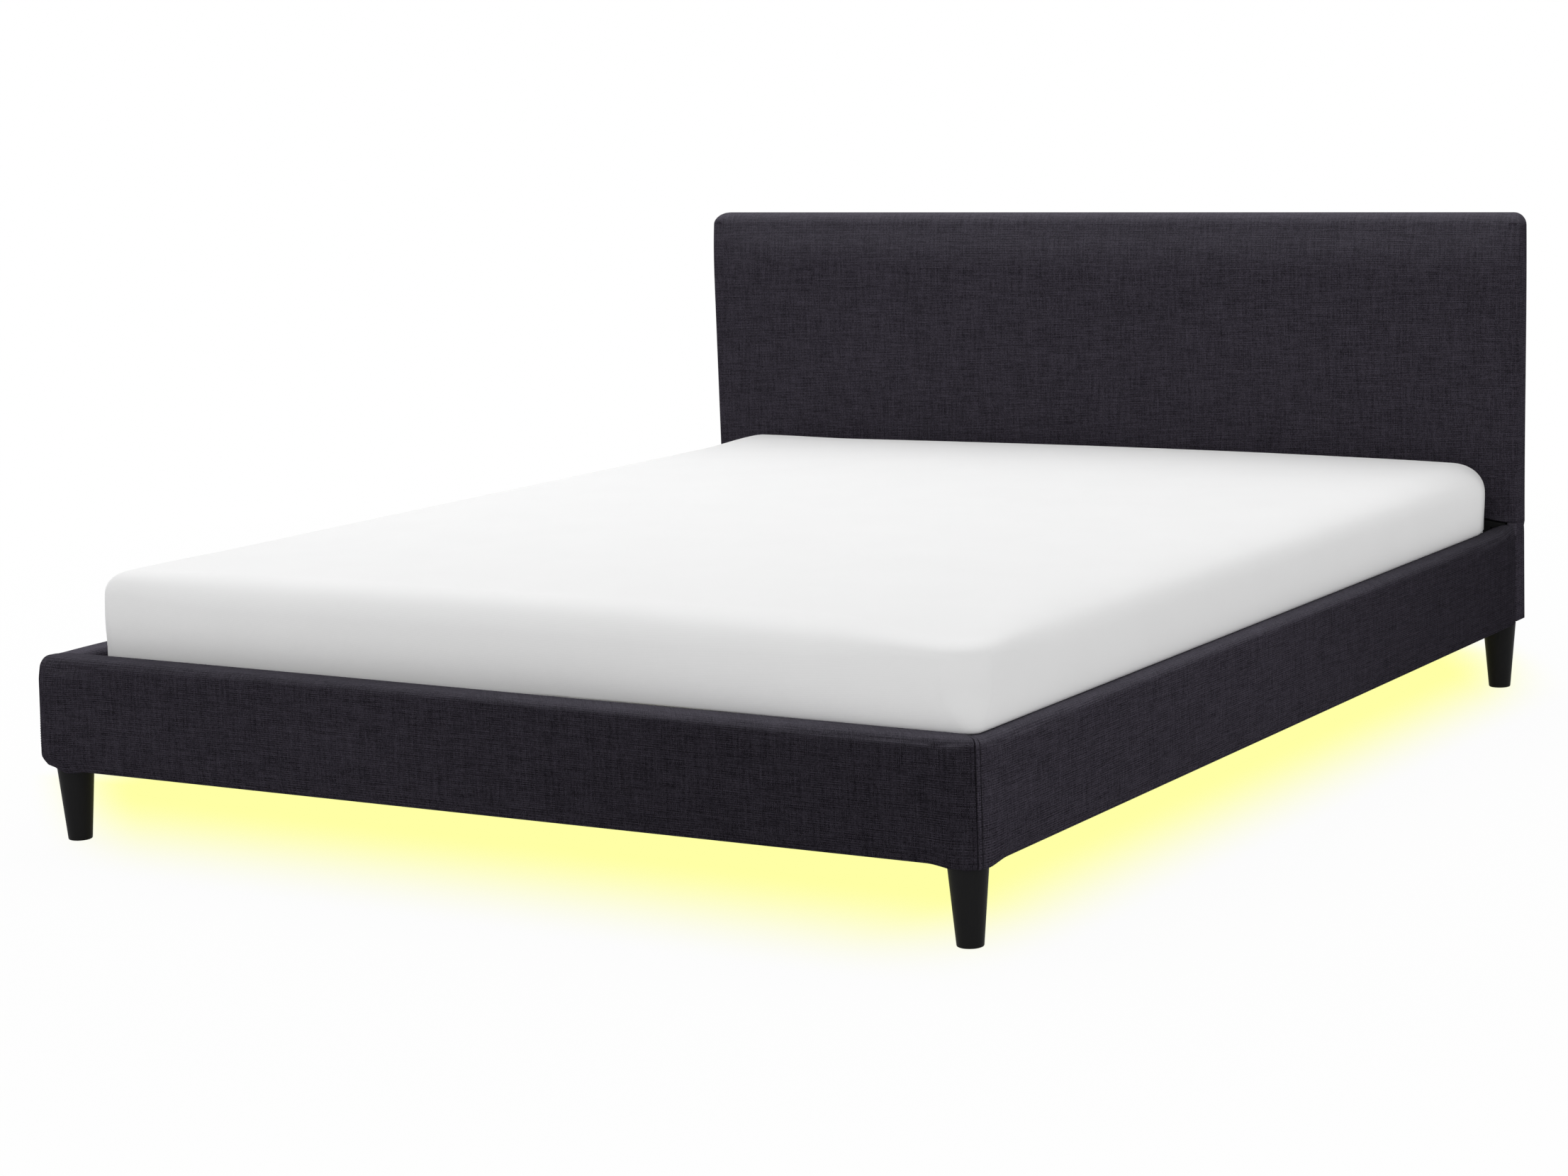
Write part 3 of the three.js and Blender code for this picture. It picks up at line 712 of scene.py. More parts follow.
@dataclass(frozen=True)
class Fleece:
    """Black non-woven lining: pressed fibres with a faint diamond of weld points."""

    name: str = "black_lining"
    colour: Colour = shade(17, 17, 18)
    tones: Pair = (0.6, 1.7)
    fibre: Triple = (900, 900, 900)
    weld_pitch: float = 0.004

    def material(self) -> Material:
        """Weld points are where two slanting sines are both high, and fibres are noise drawn out at random."""
        shader = Shader.named(self.name)
        x, y, z = shader.places()
        spread = x + y
        fibre = shader.grains((spread, y, z), self.fibre, 3.0, 0.65)
        turn = pi / self.weld_pitch
        points = shader.maths("SINE", (spread + z) * turn) * shader.maths("SINE", (spread - z) * turn)
        weld = (points * points * 1.6 - 0.6).held()
        tone = (fibre * 0.9 + weld * 0.25).held()
        colour = shader.mix(tone, *(scaled(self.colour, share) for share in self.tones))
        relief = shader.bump(fibre - weld * 0.8, 0.0003, 0.7)
        return shader.finish(colour, 0.9 - weld * 0.25, relief, 0.25)


@dataclass(frozen=True)
class BlackLacquer:
    """Satin black paint on turned wood, with the grain just felt through it."""

    name: str = "black_leg_lacquer"
    colour: Colour = shade(26, 26, 27)
    worn: Colour = shade(58, 57, 56)
    worn_rise: float = 55
    grain: Triple = (420, 420, 16)
    peel: Triple = (260, 260, 260)
    scuff: Triple = (90, 90, 240)

    def material(self) -> Material:
        """Grain is noise drawn out along the leg, and a little wear lightens the foot."""
        shader = Shader.named(self.name)
        places = shader.places()
        grain = shader.grains(places, self.grain, 3.0, 0.6)
        peel = shader.grains(places, self.peel)
        scuff = ((shader.grains(places, self.scuff, 3.0) - 0.62) * 5).held()
        scuff = scuff * (1 - places[2] * self.worn_rise).held()
        colour = shader.mix(scuff * 0.5 + grain * 0.1, self.colour, self.worn)
        relief = shader.bump(grain * 0.6 + peel * 0.4, 0.00012, 0.6)
        roughness = 0.5 + (peel - 0.5) * 0.12 + scuff * 0.3
        return shader.finish(colour, roughness, relief, 0.05)


@dataclass(frozen=True)
class ChipBoard:
    """Raw particle board: pressed flakes of pale and brown wood."""

    name: str = "particle_board"
    pale: Colour = shade(196, 164, 118)
    brown: Colour = shade(132, 96, 60)
    flake: Triple = (230, 230, 420)
    fine: Triple = (1500, 1500, 1500)

    def material(self) -> Material:
        """Flakes are the cells of a Voronoi pattern, coloured by their own number."""
        shader = Shader.named(self.name)
        places = shader.places()
        settings = {"feature": "F1", "voronoi_dimensions": "3D"}
        drawn = shader.vector(*(place * scale for place, scale in zip(places, self.flake)))
        place = {"Vector": drawn, "Scale": 1.0}
        cells = shader.fill(shader.node("TexVoronoi", settings), place).outputs
        number = shader.out("SeparateColor", None, {0: Value(shader, cells["Color"])})
        edge = Value(shader, cells["Distance"])
        fine = shader.grains(places, self.fine)
        colour = shader.mix((number * 0.75 + fine * 0.35).held(), self.pale, self.brown)
        relief = shader.bump(edge * 0.8 + fine * 0.3, 0.0004, 0.6)
        return shader.finish(colour, 0.78 + (fine - 0.5) * 0.2, relief)


@dataclass(frozen=True)
class BeechVeneer:
    """Sprung slat of pale bent veneer: long grain across the bed, short pores and glued layers on its edges."""

    name: str = "beech_slat"
    pale: Colour = shade(226, 196, 150)
    warm: Colour = shade(196, 156, 106)
    pore: Colour = shade(150, 108, 68)
    sway: Triple = (2.2, 14, 14)
    grain: Triple = (5, 220, 220)
    pores: Triple = (130, 1500, 1500)
    layer: float = 0.0016

    def material(self) -> Material:
        """Grain is noise drawn out along X, pores are its sharp dark grains, and layers are a sine up the edge."""
        shader = Shader.named(self.name)
        x, y, z = shader.places()
        sway = shader.grains((x, y, z), self.sway)
        long, wide, high = self.grain
        grain = shader.noise(shader.vector(x * long, y * wide + sway * 4, z * high), 3.0, 0.6)
        pores = ((shader.grains((x, y, z), self.pores, 1.0) - 0.63) * 8).held()
        layers = shader.maths("SINE", z * (2 * pi / self.layer))
        colour = shader.mix(grain, self.pale, self.warm)
        colour = shader.mix((pores * 0.55 + (layers - 0.75).held() * 0.5).held(), colour, self.pore)
        relief = shader.bump(grain * 0.4 - pores * 0.5, 0.00015, 0.6)
        roughness = 0.46 + pores * 0.25 + (grain - 0.5) * 0.15
        return shader.finish(colour, roughness, relief, 0.35)


@dataclass(frozen=True)
class CoatedSteel:
    """Sheet steel or tube: powder coat with orange peel, or bright zinc with its flowers."""

    name: str
    colour: Colour
    metallic: float
    roughness: float
    grain: float
    wide: float = 6
    tones: Pair = (0.8, 1.2)

    def material(self) -> Material:
        """Fine noise roughens the coat, and wider cells shift its brightness a little."""
        shader = Shader.named(self.name)
        places = shader.places()
        peel = shader.grains(places, (self.grain, self.grain, self.grain))
        wide = shader.noise(shader.vector(*(place * self.grain / self.wide for place in places)), 3.0)
        colour = shader.mix(wide, *(scaled(self.colour, share) for share in self.tones))
        roughness = self.roughness + (wide - 0.5) * 0.2
        relief = shader.bump(peel, 0.0001, 0.5)
        return shader.finish(colour, roughness, relief, others={"Metallic": self.metallic})


@dataclass(frozen=True)
class MouldedPlastic:
    """Moulded plastic with a fine spark-eroded grain."""

    name: str
    colour: Colour
    roughness: float
    fine: Triple = (1400, 1400, 1400)
    broad: Triple = (22, 22, 22)
    tones: Pair = (0.88, 1.1)

    def material(self) -> Material:
        """Two sizes of noise make the grain, and the broad one varies the tone."""
        shader = Shader.named(self.name)
        places = shader.places()
        fine, broad = (shader.grains(places, scales) for scales in (self.fine, self.broad))
        colour = shader.mix(broad, *(scaled(self.colour, share) for share in self.tones))
        roughness = self.roughness + (fine - 0.5) * 0.2
        return shader.finish(colour, roughness, shader.bump(fine, 0.0001, 0.5))


@dataclass(frozen=True)
class LightStrip:
    """A lit diffuser over small light chips at an even pitch."""

    name: str = "lit_diffuser"
    glow: Colour = (1.0, 0.97, 0.36)
    chip: Colour = (1.0, 1.0, 0.72)
    unlit: Colour = (0.9, 0.88, 0.6)
    unlit_chip: Colour = (1.0, 1.0, 0.8)
    pitch: float = 0.0166
    strength: float = 1.6

    def material(self) -> Material:
        """The light is brighter where the sine along the strip peaks, above each chip."""
        shader = Shader.named(self.name)
        x, y, _ = shader.places()
        wave = shader.maths("SINE", (x + y) * (2 * pi / self.pitch))
        spots = ((wave * 0.5 + 0.5) ** 4).held()
        glow = shader.mix(spots, self.glow, self.chip)
        colour = shader.mix(spots, self.unlit, self.unlit_chip)
        return shader.finish(colour, 0.35, None, others={"Emission Color": glow, "Emission Strength": self.strength})


@dataclass(frozen=True)
class MattressKnit:
    """White double-knit mattress ticking: fine rows of loops, nearly even white."""

    name: str = "white_knit"
    colour: Colour = (0.9, 0.9, 0.9)
    shadow: float = 0.955
    loop: float = 0.0016
    fluff: float = 1200
    cloud: float = 7

    def material(self) -> Material:
        """Rows of loops are two crossed sines, and soft noise keeps the white from being quite even."""
        shader = Shader.named(self.name)
        across, along = shader.cloth()
        wales = shader.maths("SINE", across * (2 * pi / self.loop))
        courses = shader.maths("SINE", along * (2 * pi / self.loop) + wales * 1.2)
        fluff, cloud = (
            shader.noise(shader.vector(across * scale, along * scale), flat=True) for scale in (self.fluff, self.cloud)
        )
        knit = wales * courses
        tone = ((cloud - 0.5) * 0.5 + (1 - knit) * 0.22 + (fluff - 0.5) * 0.3).held()
        colour = shader.mix(tone, self.colour, scaled(self.colour, self.shadow))
        relief = shader.bump(knit * 0.5 + fluff * 0.4, 0.00016, 0.5)
        return shader.finish(colour, 0.88 + (fluff - 0.5) * 0.1, relief, 0.15, {"Sheen Weight": 0.04})


# Sub-assemblies


class Side(Enum):
    """Which rail of the bed."""

    FOOT = "foot"
    LEFT = "left"
    RIGHT = "right"


CLOTH_START = {Side.FOOT: 4.0, Side.LEFT: 7.0, Side.RIGHT: 4.5}


@dataclass
class RailCover:
    """The padded cover round a rail board, mitred and sewn at the front corners.

    A place on it is (along, depth, height): along the rail from its mitre, in from its outer face and up from the
    floor. Its section starts at the stapled edge under the board, goes up the outer face, over the top and down to
    the stapled edge on the inner face.
    """

    side: Side
    bed_width: float = 1.76
    half_width: float = 0.88
    half_length: float = 1.065
    side_length: float = 2.0797
    bottom: float = 0.124
    top: float = 0.305
    thickness: float = 0.05
    hem_height: float = 0.25
    under_end: float = 0.043
    pocket_low: Pair = (0.0157, 0.1267)
    pocket_high: Pair = (0.0433, 0.2933)
    top_radius: float = 0.0112
    left_top_radius: float = 0.0175
    left_reach: float = 0.16
    inner_radius: float = 0.012
    low_radius: float = 0.006
    tight_radius: float = 0.004
    corner_radius: float = 0.022
    end_radius: float = 0.0012
    straight_from: float = 0.06
    mitre_gap: float = 0.00015
    slack: float = 0.0004
    swell: float = 0.003
    swell_inside: float = 0.0005
    full_low: float = 0.0115
    full_high: float = 0.006
    full_reach: float = 0.13
    felled_width: float = 0.0078
    felled_rise: float = 0.0007
    groove_depth: float = 0.0013
    groove_width: float = 0.0009
    pucker: float = 0.0005
    pucker_reach: float = 0.011
    left_pucker: float = 0.001
    left_pucker_reach: float = 0.024
    sag: float = 0.0026
    lip_drop: float = 0.0046
    lip_reach: float = 0.026
    leg_clear: float = 0.0335
    flange_clear: float = 0.0156
    corner_rise: float = 0.0024
    end_rise: float = 0.0078
    tight_until: float = 0.095
    tight_fade: float = 0.045
    side_crown_reach: float = 0.35
    end_taper: float = 0.6
    full_low_edge: Pair = (0.15, 0.14)
    full_top_edge: Triple = (0.55, 0.8, 0.2)
    full_depth: float = 0.04
    swell_from: Pair = (0.018, 0.014)
    under_reach: float = 0.012
    second_groove: float = 0.8
    band_edges: Triple = (0.0008, 0.0014, 0.001)
    pucker_pitch: Pair = (0.0125, 0.0307)
    pucker_turn: float = 1.1
    pucker_mix: Pair = (0.6, 0.4)
    left_pucker_mix: Pair = (0.3, 0.7)
    pucker_start: Pair = (0.002, 0.004)
    seam_end: Pair = (0.05, 0.02)
    seam_section: float = 0.05
    seam_step: float = 1e-4
    lip_edge: float = 0.0012
    lip_height: float = 0.034
    left_lip: Pair = (0.012, 0.04)
    left_rise: Pair = (0.02, 0.03)
    hump_depth: Pair = (0.017, 0.018)
    hump_along: Pair = (0.062, 0.058)
    hump_height: Pair = (0.262, 0.04)
    fixing_height: float = 0.002
    fixing_gap: float = 0.0001
    near_seam: Stretches = ((0, 0.002, 4), (0.002, 0.016, 14), (0.016, 0.11, 36))
    coarse_near_seam: Stretches = ((0, 0.012, 1), (0.012, 0.11, 7))
    plain_from: float = 0.11
    spacing: Pair = (0.012, 0.018)
    last_stretch: float = 0.012
    fine: Counts = (12, 6, 34, 10, 6, 7, 10)
    coarse: Counts = (3, 2, 12, 4, 2, 2, 4)

    def __post_init__(self) -> None:
        """Works out the rail's own length, its leg's place and its rise at both ends."""
        self.is_foot = self.side is Side.FOOT
        self.length = self.bed_width if self.is_foot else self.side_length
        self.leg = (0.039, 0.035) if self.is_foot else (0.035, 0.039)
        crowns = {Side.FOOT: (0.0074, 0.001), Side.LEFT: (0.0045, 0.002), Side.RIGHT: (-0.001, -0.001)}
        self.crown = crowns[self.side]
        self.bulge = np.zeros(1)

    def stations(self, fine: bool) -> Array:
        """Where the rings of the skin stand along the rail, close together near the seam.

        Args:
            fine: True for the skin itself, False for the grid that is swollen.

        Returns:
            The stations, rising.
        """
        near = self.near_seam if fine else self.coarse_near_seam
        start, middle = self.plain_from, self.spacing[0 if fine else 1]
        if self.is_foot:
            half = run(*near, (start, self.length / 2, round((self.length / 2 - start) / middle)))
            return np.concatenate([half, self.length - half[-2::-1]])
        end = self.length - self.end_radius
        last = end - self.last_stretch
        far = [(start, last, round((last - start) / middle)), (last, end, 4 if fine else 1)]
        turn = [(end, self.length, 4)] if fine else []
        return run(*near, *far, *turn)

    def from_mitre(self, station: Array) -> Array:
        """How far places along the rail are from the nearest mitre."""
        return np.minimum(station, self.length - station) if self.is_foot else station

    def section(self, station: Array, counts: Counts) -> Arrays:
        """Depth and height of the section's points at each station.

        Straight stretches and quarter circles follow each other. The lower edge is tighter near the leg, and at a
        plain end the whole section draws in on a quarter circle.

        Args:
            station: One column of stations, or one station for each point.
            counts: The steps of each stretch of the section.

        Returns:
            The depths and the heights.
        """
        near_leg = ease((self.tight_until - self.from_mitre(station)) / self.tight_fade)
        low_r = between(self.low_radius, self.tight_radius, near_leg)
        from_left = np.zeros_like(station) if self.side is Side.RIGHT else 1 - ease(station / self.left_reach)
        top_r = between(self.top_radius, self.left_top_radius, from_left)
        drawn = np.zeros_like(station)
        if not self.is_foot:
            past = np.clip((station - self.length + self.end_radius) / self.end_radius, 0, 1)
            drawn = self.end_radius * (1 - np.sqrt(1 - past**2))
        outer = self.slack + drawn
        low = self.bottom + drawn
        reach = 1.0 if self.is_foot else self.side_crown_reach
        rise = between(self.crown[1], self.crown[0], 1 - ease(station / self.length / reach))
        high = self.top - self.slack + rise - drawn
        inner = self.thickness - drawn * self.end_taper
        inner_r = self.inner_radius
        shares = [np.linspace(0, 1, count + 1)[min(place, 1) :] for place, count in enumerate(counts)]
        stretch = np.repeat(np.arange(len(counts)), [len(share) for share in shares])
        share = np.concatenate(shares)
        gone, left = 1 - np.cos(share * pi / 2), 1 - np.sin(share * pi / 2)
        depths = (
            self.under_end + (outer + low_r - self.under_end) * share,
            outer + low_r * left,
            outer,
            outer + top_r * gone,
            outer + top_r + (inner - inner_r - outer - top_r) * share,
            inner - inner_r * left,
            inner,
        )
        heights = (
            low,
            low + low_r * gone,
            low + low_r + (high - top_r - low - low_r) * share,
            high - top_r * left,
            high,
            high - inner_r * gone,
            high - inner_r + (self.hem_height - high + inner_r) * share,
        )
        return np.choose(stretch, depths), np.choose(stretch, heights)

    def walk(self, station: Array, depth: Array) -> tuple[Array, Array, Array]:
        """Carries depths round the mitred corner.

        A point nearer the outer face than the corner radius turns on a quarter circle up to the mitre plane at 45
        degrees. A deeper one goes straight to that plane. Stations nearer the mitre than straight_from share that
        walk out evenly.

        Args:
            station: The stations.
            depth: The depths of the section's points there.

        Returns:
            The places along the rail, the depths after the turn and the distance from the seam.
        """
        from_mitre = self.from_mitre(station)
        left = np.maximum(self.corner_radius - depth, 0)
        arc = left * pi / 4
        kept = np.maximum(depth, self.corner_radius)
        total = arc + self.straight_from - kept
        plain = total + from_mitre - self.straight_from
        walked = np.where(from_mitre < self.straight_from, from_mitre / self.straight_from * total, plain)
        angle = pi / 4 - np.minimum(walked, arc) / np.maximum(left, 1e-9)
        turning = walked < arc
        along = np.where(turning, self.corner_radius - left * np.sin(angle), kept + walked - arc)
        deep = np.where(turning, self.corner_radius - left * np.cos(angle), depth)
        along = along + self.mitre_gap * np.clip(1 - from_mitre / self.straight_from, 0, 1)
        if self.is_foot:
            along = np.where(station > self.length / 2, self.length - along, along)
        return along, deep, walked

    def filled(self, station: Array, along: Array, depth: Array, height: Array) -> Arrays:
        """The left corner's thicker filling, which pushes the skin out along the mitre's diagonal.

        The push fades as a bell curve along the rail, to nothing towards the inner face, and evenly up the rail.

        Args:
            station: The stations.
            along, depth, height: The skin's places.

        Returns:
            The new places along the rail and the new depths.
        """
        if self.side is Side.RIGHT:
            return along, depth
        up = np.clip((height - self.bottom) / (self.top - self.bottom), 0, 1)
        push = between(self.full_low, self.full_high, up) * np.exp(-((station / self.full_reach) ** 2))
        (low_share, low_width), (lost, top_from, top_width) = self.full_low_edge, self.full_top_edge
        push = push * ease(low_share + up / low_width) * (1 - lost * ease((up - top_from) / top_width))
        push = push * (1 - ease(depth / self.full_depth)) / np.sqrt(2)
        return along - push, depth - push

    def in_bed(self, along: Array, depth: Array, height: Array) -> Array:
        """Rail places as points of the bed.

        Args:
            along, depth, height: The places on the rail.

        Returns:
            The points.
        """
        if self.is_foot:
            return np.stack([along - self.half_width, depth - self.half_length, height], axis=-1)
        across = self.half_width - depth if self.side is Side.RIGHT else depth - self.half_width
        return np.stack([across, along - self.half_length, height], axis=-1)

    def pocket(self, station: Array, depth: Array, height: Array) -> Array:
        """The board's pocket behind the skin: the section's points held inside the board's outline."""
        along, deep, _ = self.walk(station, np.clip(depth, self.pocket_low[0], self.pocket_high[0]))
        return self.in_bed(along, deep, np.clip(height, self.pocket_low[1], self.pocket_high[1]))

    def path(self, counts: Counts) -> Array:
        """How far along the section each of its points lies, on a plain stretch of the rail.

        Args:
            counts: The steps of each stretch of the section.

        Returns:
            The ways from the stapled edge under the board.
        """
        middle = np.array([[self.length / 2]])
        depth, height = self.section(middle, counts)
        steps = np.hypot(np.diff(depth[0]), np.diff(height[0]))
        return np.concatenate([[0], np.cumsum(steps)])

    def swollen(self) -> None:
        """Blows the cover up on a coarse grid that is held at both stapled edges and at the seam."""
        station = self.stations(False)[:, None]
        depth, height = self.section(station, self.coarse)
        along, deep, _ = self.walk(station, depth)
        points = self.in_bed(*self.filled(station, along, deep, height), height)
        numbers = np.arange(depth.size).reshape(depth.shape)
        skin = Skin()
        skin.add(points)
        skin.sheet(numbers if self.side is not Side.LEFT else numbers[:, ::-1])
        held = np.zeros(depth.shape, bool)
        held[:, [0, -1]] = True
        held[0] = held[-1] = True
        inside = ramp(depth, self.swell_from) * np.ones_like(height)
        under = ease((self.bottom + self.under_reach - height) / self.under_reach)
        most = between(self.swell, self.swell_inside, np.maximum(inside, under))
        move = Swelling().push(points.reshape(-1, 3), skin.faces[0], held.ravel(), most.ravel())
        outwards = surface_normals(points, self.pocket(station, depth, height))
        self.bulge = outwards_only(move.reshape(points.shape), outwards)

    def lip(self, along: Array, depth: Array, height: Array) -> Array:
        """Heights with the lower edge sagging, pulled down round the leg's top and lifted clear of the leg's fixing.

        The drop is sag and lip_drop together at the leg, and lip_drop falls with the square of the way to lip_reach.
        Within leg_clear of the leg's axis the cover stays above the leg. At the left mitre the edge rises instead, and
        beside the headboard the top rises in a bell curve across it.

        Args:
            along, depth, height: The skin's places.

        Returns:
            The new heights.
        """
        reach = np.hypot(self.from_mitre(along) - self.leg[0], depth - self.leg[1])
        drop = self.sag + self.lip_drop * (1 - np.clip((reach - self.leg_clear) / self.lip_reach, 0, 1)) ** 2
        drop = drop * ease((reach - self.leg_clear) / self.lip_edge + 1)
        if self.side is not Side.RIGHT:
            from_left = ramp(along, self.left_lip)
            drop = drop * from_left - self.corner_rise * (1 - ramp(along, self.left_rise))
        drop = drop * (1 - ease((height - self.bottom) / self.lip_height))
        if not self.is_foot:
            hump = np.exp(-(((depth - self.hump_depth[0]) / self.hump_depth[1]) ** 2))
            hump = hump * ease((along - self.length + self.hump_along[0]) / self.hump_along[1])
            drop = drop - self.end_rise * hump * ramp(height, self.hump_height)
        over_fixing = (reach < self.flange_clear) & (height < self.bottom + self.fixing_height)
        return np.where(over_fixing, self.pocket_low[1] - self.fixing_gap, height - drop)

    def relief(self, station: Array, walked: Array, path: Array) -> Array:
        """How far the seam, its felled band and its puckers stand out of the skin.

        A groove is a bell curve across the seam. The band is flat between two grooves, on the side rails only.
        Puckers are cosines along the seam that fade away from it, longer and deeper at the left corner.

        Args:
            station, walked: The stations, and the distances from the seam.
            path: The ways along the section.

        Returns:
            The distances outwards.
        """
        groove = -self.groove_depth * np.exp(-((walked / self.groove_width) ** 2))
        if self.is_foot:
            gather = groove
        else:
            first, last, width = self.band_edges
            band = ease((walked - first) / width) - ease((walked - self.felled_width + last) / width)
            second = np.exp(-(((walked - self.felled_width) / self.groove_width) ** 2))
            second = -self.second_groove * self.groove_depth * second
            gather = groove + band * self.felled_rise + second
        left = (station < self.length / 2) if self.is_foot else np.full(station.shape, self.side is Side.LEFT)
        reach = np.where(left, self.left_pucker_reach, self.pucker_reach)
        fade = np.exp(-np.maximum(walked - self.pucker_start[0], 0) / reach)
        short = np.cos(path * 2 * pi / self.pucker_pitch[0])
        long = np.cos(path * 2 * pi / self.pucker_pitch[1] + self.pucker_turn)
        plain, deep = (mix[0] * short + mix[1] * long for mix in (self.pucker_mix, self.left_pucker_mix))
        waves = np.where(left, self.left_pucker * deep, self.pucker * plain)
        start = 0 if self.is_foot else self.felled_width
        gather = gather + waves * fade * ease((walked - start) / self.pucker_start[1])
        return gather * (1 if self.is_foot else 1 - ease((station - self.length + self.seam_end[0]) / self.seam_end[1]))

    def skin_at(self, station: Array) -> tuple[Array, Array, Array]:
        """The finished skin at stations.

        Args:
            station: One column of stations, or one station for each point of the section.

        Returns:
            The points, the pocket's points behind them and the distance from the seam.
        """
        path = self.path(self.fine)
        depth, height = self.section(station, self.fine)
        along, deep, walked = self.walk(station, depth)
        along, deep = self.filled(station, along, deep, height)
        pocket = self.pocket(station, depth, height)
        move = np.zeros((*depth.shape, 3))
        if self.bulge.ndim > 1:
            rows = cubic_weights(station[:, 0], self.stations(False))
            columns = cubic_weights(path, self.path(self.coarse))
            move = np.einsum("sa,abx,pb->spx", rows, self.bulge, columns)
        plain = self.in_bed(along, deep, height) + move
        outwards = surface_normals(plain, pocket)
        raised = plain + outwards * self.relief(station, walked, path)[..., None]
        raised[..., 2] = self.lip(along, deep, raised[..., 2])
        return raised, pocket, walked

    def build(self, finish: Material) -> Piece:
        """Makes the cover.

        Args:
            finish: The cloth.

        Returns:
            The piece, standing for its solid.
        """
        self.swollen()
        station = self.stations(True)[:, None]
        outside, pocket, walked = self.skin_at(station)
        path = np.broadcast_to(self.path(self.fine), outside.shape[:2])
        from_mid = np.where(station > self.length / 2, self.length - walked, walked) if self.is_foot else walked
        cloth = np.stack([from_mid + CLOTH_START[self.side], path], axis=-1)
        skin = Skin()
        outer = skin.add(outside, cloth)
        inner = skin.add(pocket, cloth)
        skin.sheet(outer)
        skin.sheet(inner)
        for edge in (0, -1):
            skin.sheet(np.stack([outer[edge], inner[edge]]))
            skin.sheet(np.stack([outer[:, edge], inner[:, edge]]))
        node = "foot_rail_cover" if self.is_foot else "side_rail_cover_" + self.side.value
        name = "foot_rail_upholstery" if self.is_foot else "side_rail_upholstery_" + self.side.value
        piece = skin.make(name, finish)
        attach(piece, BED)
        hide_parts(node)
        return piece

    def seam_line(self, distance: float) -> Arrays:
        """A line up the seam at a distance from the mitre, from under the rail to its inner top edge.

        Args:
            distance: How far from the mitre the line runs.

        Returns:
            The points of the line and the directions away from the pad.
        """
        depth, _ = self.section(np.array([[self.seam_section]]), self.fine)
        left = np.maximum(self.corner_radius - depth, 0)
        total = left * pi / 4 + self.straight_from - np.maximum(depth, self.corner_radius)
        places = distance * self.straight_from / np.maximum(total, distance)
        outside, pocket, _ = self.skin_at(places + np.array([[-self.seam_step], [0], [self.seam_step]]))
        away = surface_normals(outside, pocket)[1]
        first = self.fine[0] + self.fine[1] // 2
        last = sum(self.fine[:6])
        return outside[1, first:last], away[first:last]


@dataclass
class SeamStitches:
    """Two rows of thread along the felled corner seam of a side rail."""

    rail: RailCover
    rows: Pair = (0.0012, 0.0076)
    pitch: float = 0.0042
    length: float = 0.0031
    radius: float = 0.00042
    stand: float = 0.7
    sides: int = 6
    places: Row = (-0.5, -0.38, 0.0, 0.38, 0.5)
    sizes: Row = (0.05, 0.75, 1.0, 0.75, 0.05)
    heights: Row = (-1.3, -0.35, 0.1, -0.35, -1.3)

    def stitch(self) -> Arrays:
        """One stitch about the origin, along X: rings that shrink towards both sunk ends.

        Returns:
            The points and the faces.
        """
        along = np.array(self.places)[:, None] * self.length
        size = np.array(self.sizes)[:, None] * self.radius
        sunk = np.array(self.heights)[:, None] * self.radius
        turn = np.arange(self.sides) * 2 * pi / self.sides
        rings = np.stack([along + 0 * turn, size * np.cos(turn), size * np.sin(turn) + sunk], axis=-1)
        numbers = np.arange(len(along) * self.sides).reshape(len(along), self.sides)
        shape = Skin()
        shape.sheet(numbers, closed=True)
        corners = ((0, [0, 1, 2, 3]), (0, [0, 3, 4, 5]), (-1, [3, 2, 1, 0]), (-1, [5, 4, 3, 0]))
        ends = [numbers[row][picked] for row, picked in corners]
        return rings.reshape(-1, 3), np.concatenate([*shape.faces, np.array(ends)])

    def along(self, line: Array, away: Array) -> Arrays:
        """Stitches at an even pitch on a line.

        Args:
            line: The points of the line.
            away: The directions away from the pad there.

        Returns:
            The points and faces of all the stitches.
        """
        reach = np.concatenate([[0], np.cumsum(np.linalg.norm(np.diff(line, axis=0), axis=1))])
        places = np.arange(self.pitch, reach[-1] - self.pitch, self.pitch)
        centre, ahead, out = (
            np.stack([np.interp(at, reach, values[:, axis]) for axis in range(3)], axis=-1)
            for at, values in ((places, line), (places + self.length / 2, line), (places, away))
        )
        ahead = ahead - centre
        ahead /= np.linalg.norm(ahead, axis=1, keepdims=True)
        across = np.cross(out, ahead)
        across /= np.linalg.norm(across, axis=1, keepdims=True)
        out = np.cross(ahead, across)
        shape, faces = self.stitch()
        turned = np.einsum("pi,nix->npx", shape, np.stack([ahead, across, out], axis=1))
        points = turned + (centre + out * self.radius * self.stand)[:, None]
        numbers = faces[None] + (np.arange(len(centre)) * len(shape))[:, None, None]
        return points.reshape(-1, 3), numbers.reshape(-1, 4)

    def build(self, finish: Material) -> Piece:
        """Makes both rows as one piece.

        Args:
            finish: The thread.

        Returns:
            The piece.
        """
        skin = Skin()
        for distance in self.rows:
            points, faces = self.along(*self.rail.seam_line(distance))
            skin.faces.append(faces + skin.count)
            skin.add(points)
        name = "corner_stitching_" + self.rail.side.value
        mesh = mesh_of(name, np.concatenate(skin.points), np.concatenate(skin.faces))
        face_outwards(mesh)
        piece = placed(name, mesh, finish)
        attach(piece, BED)
        return piece


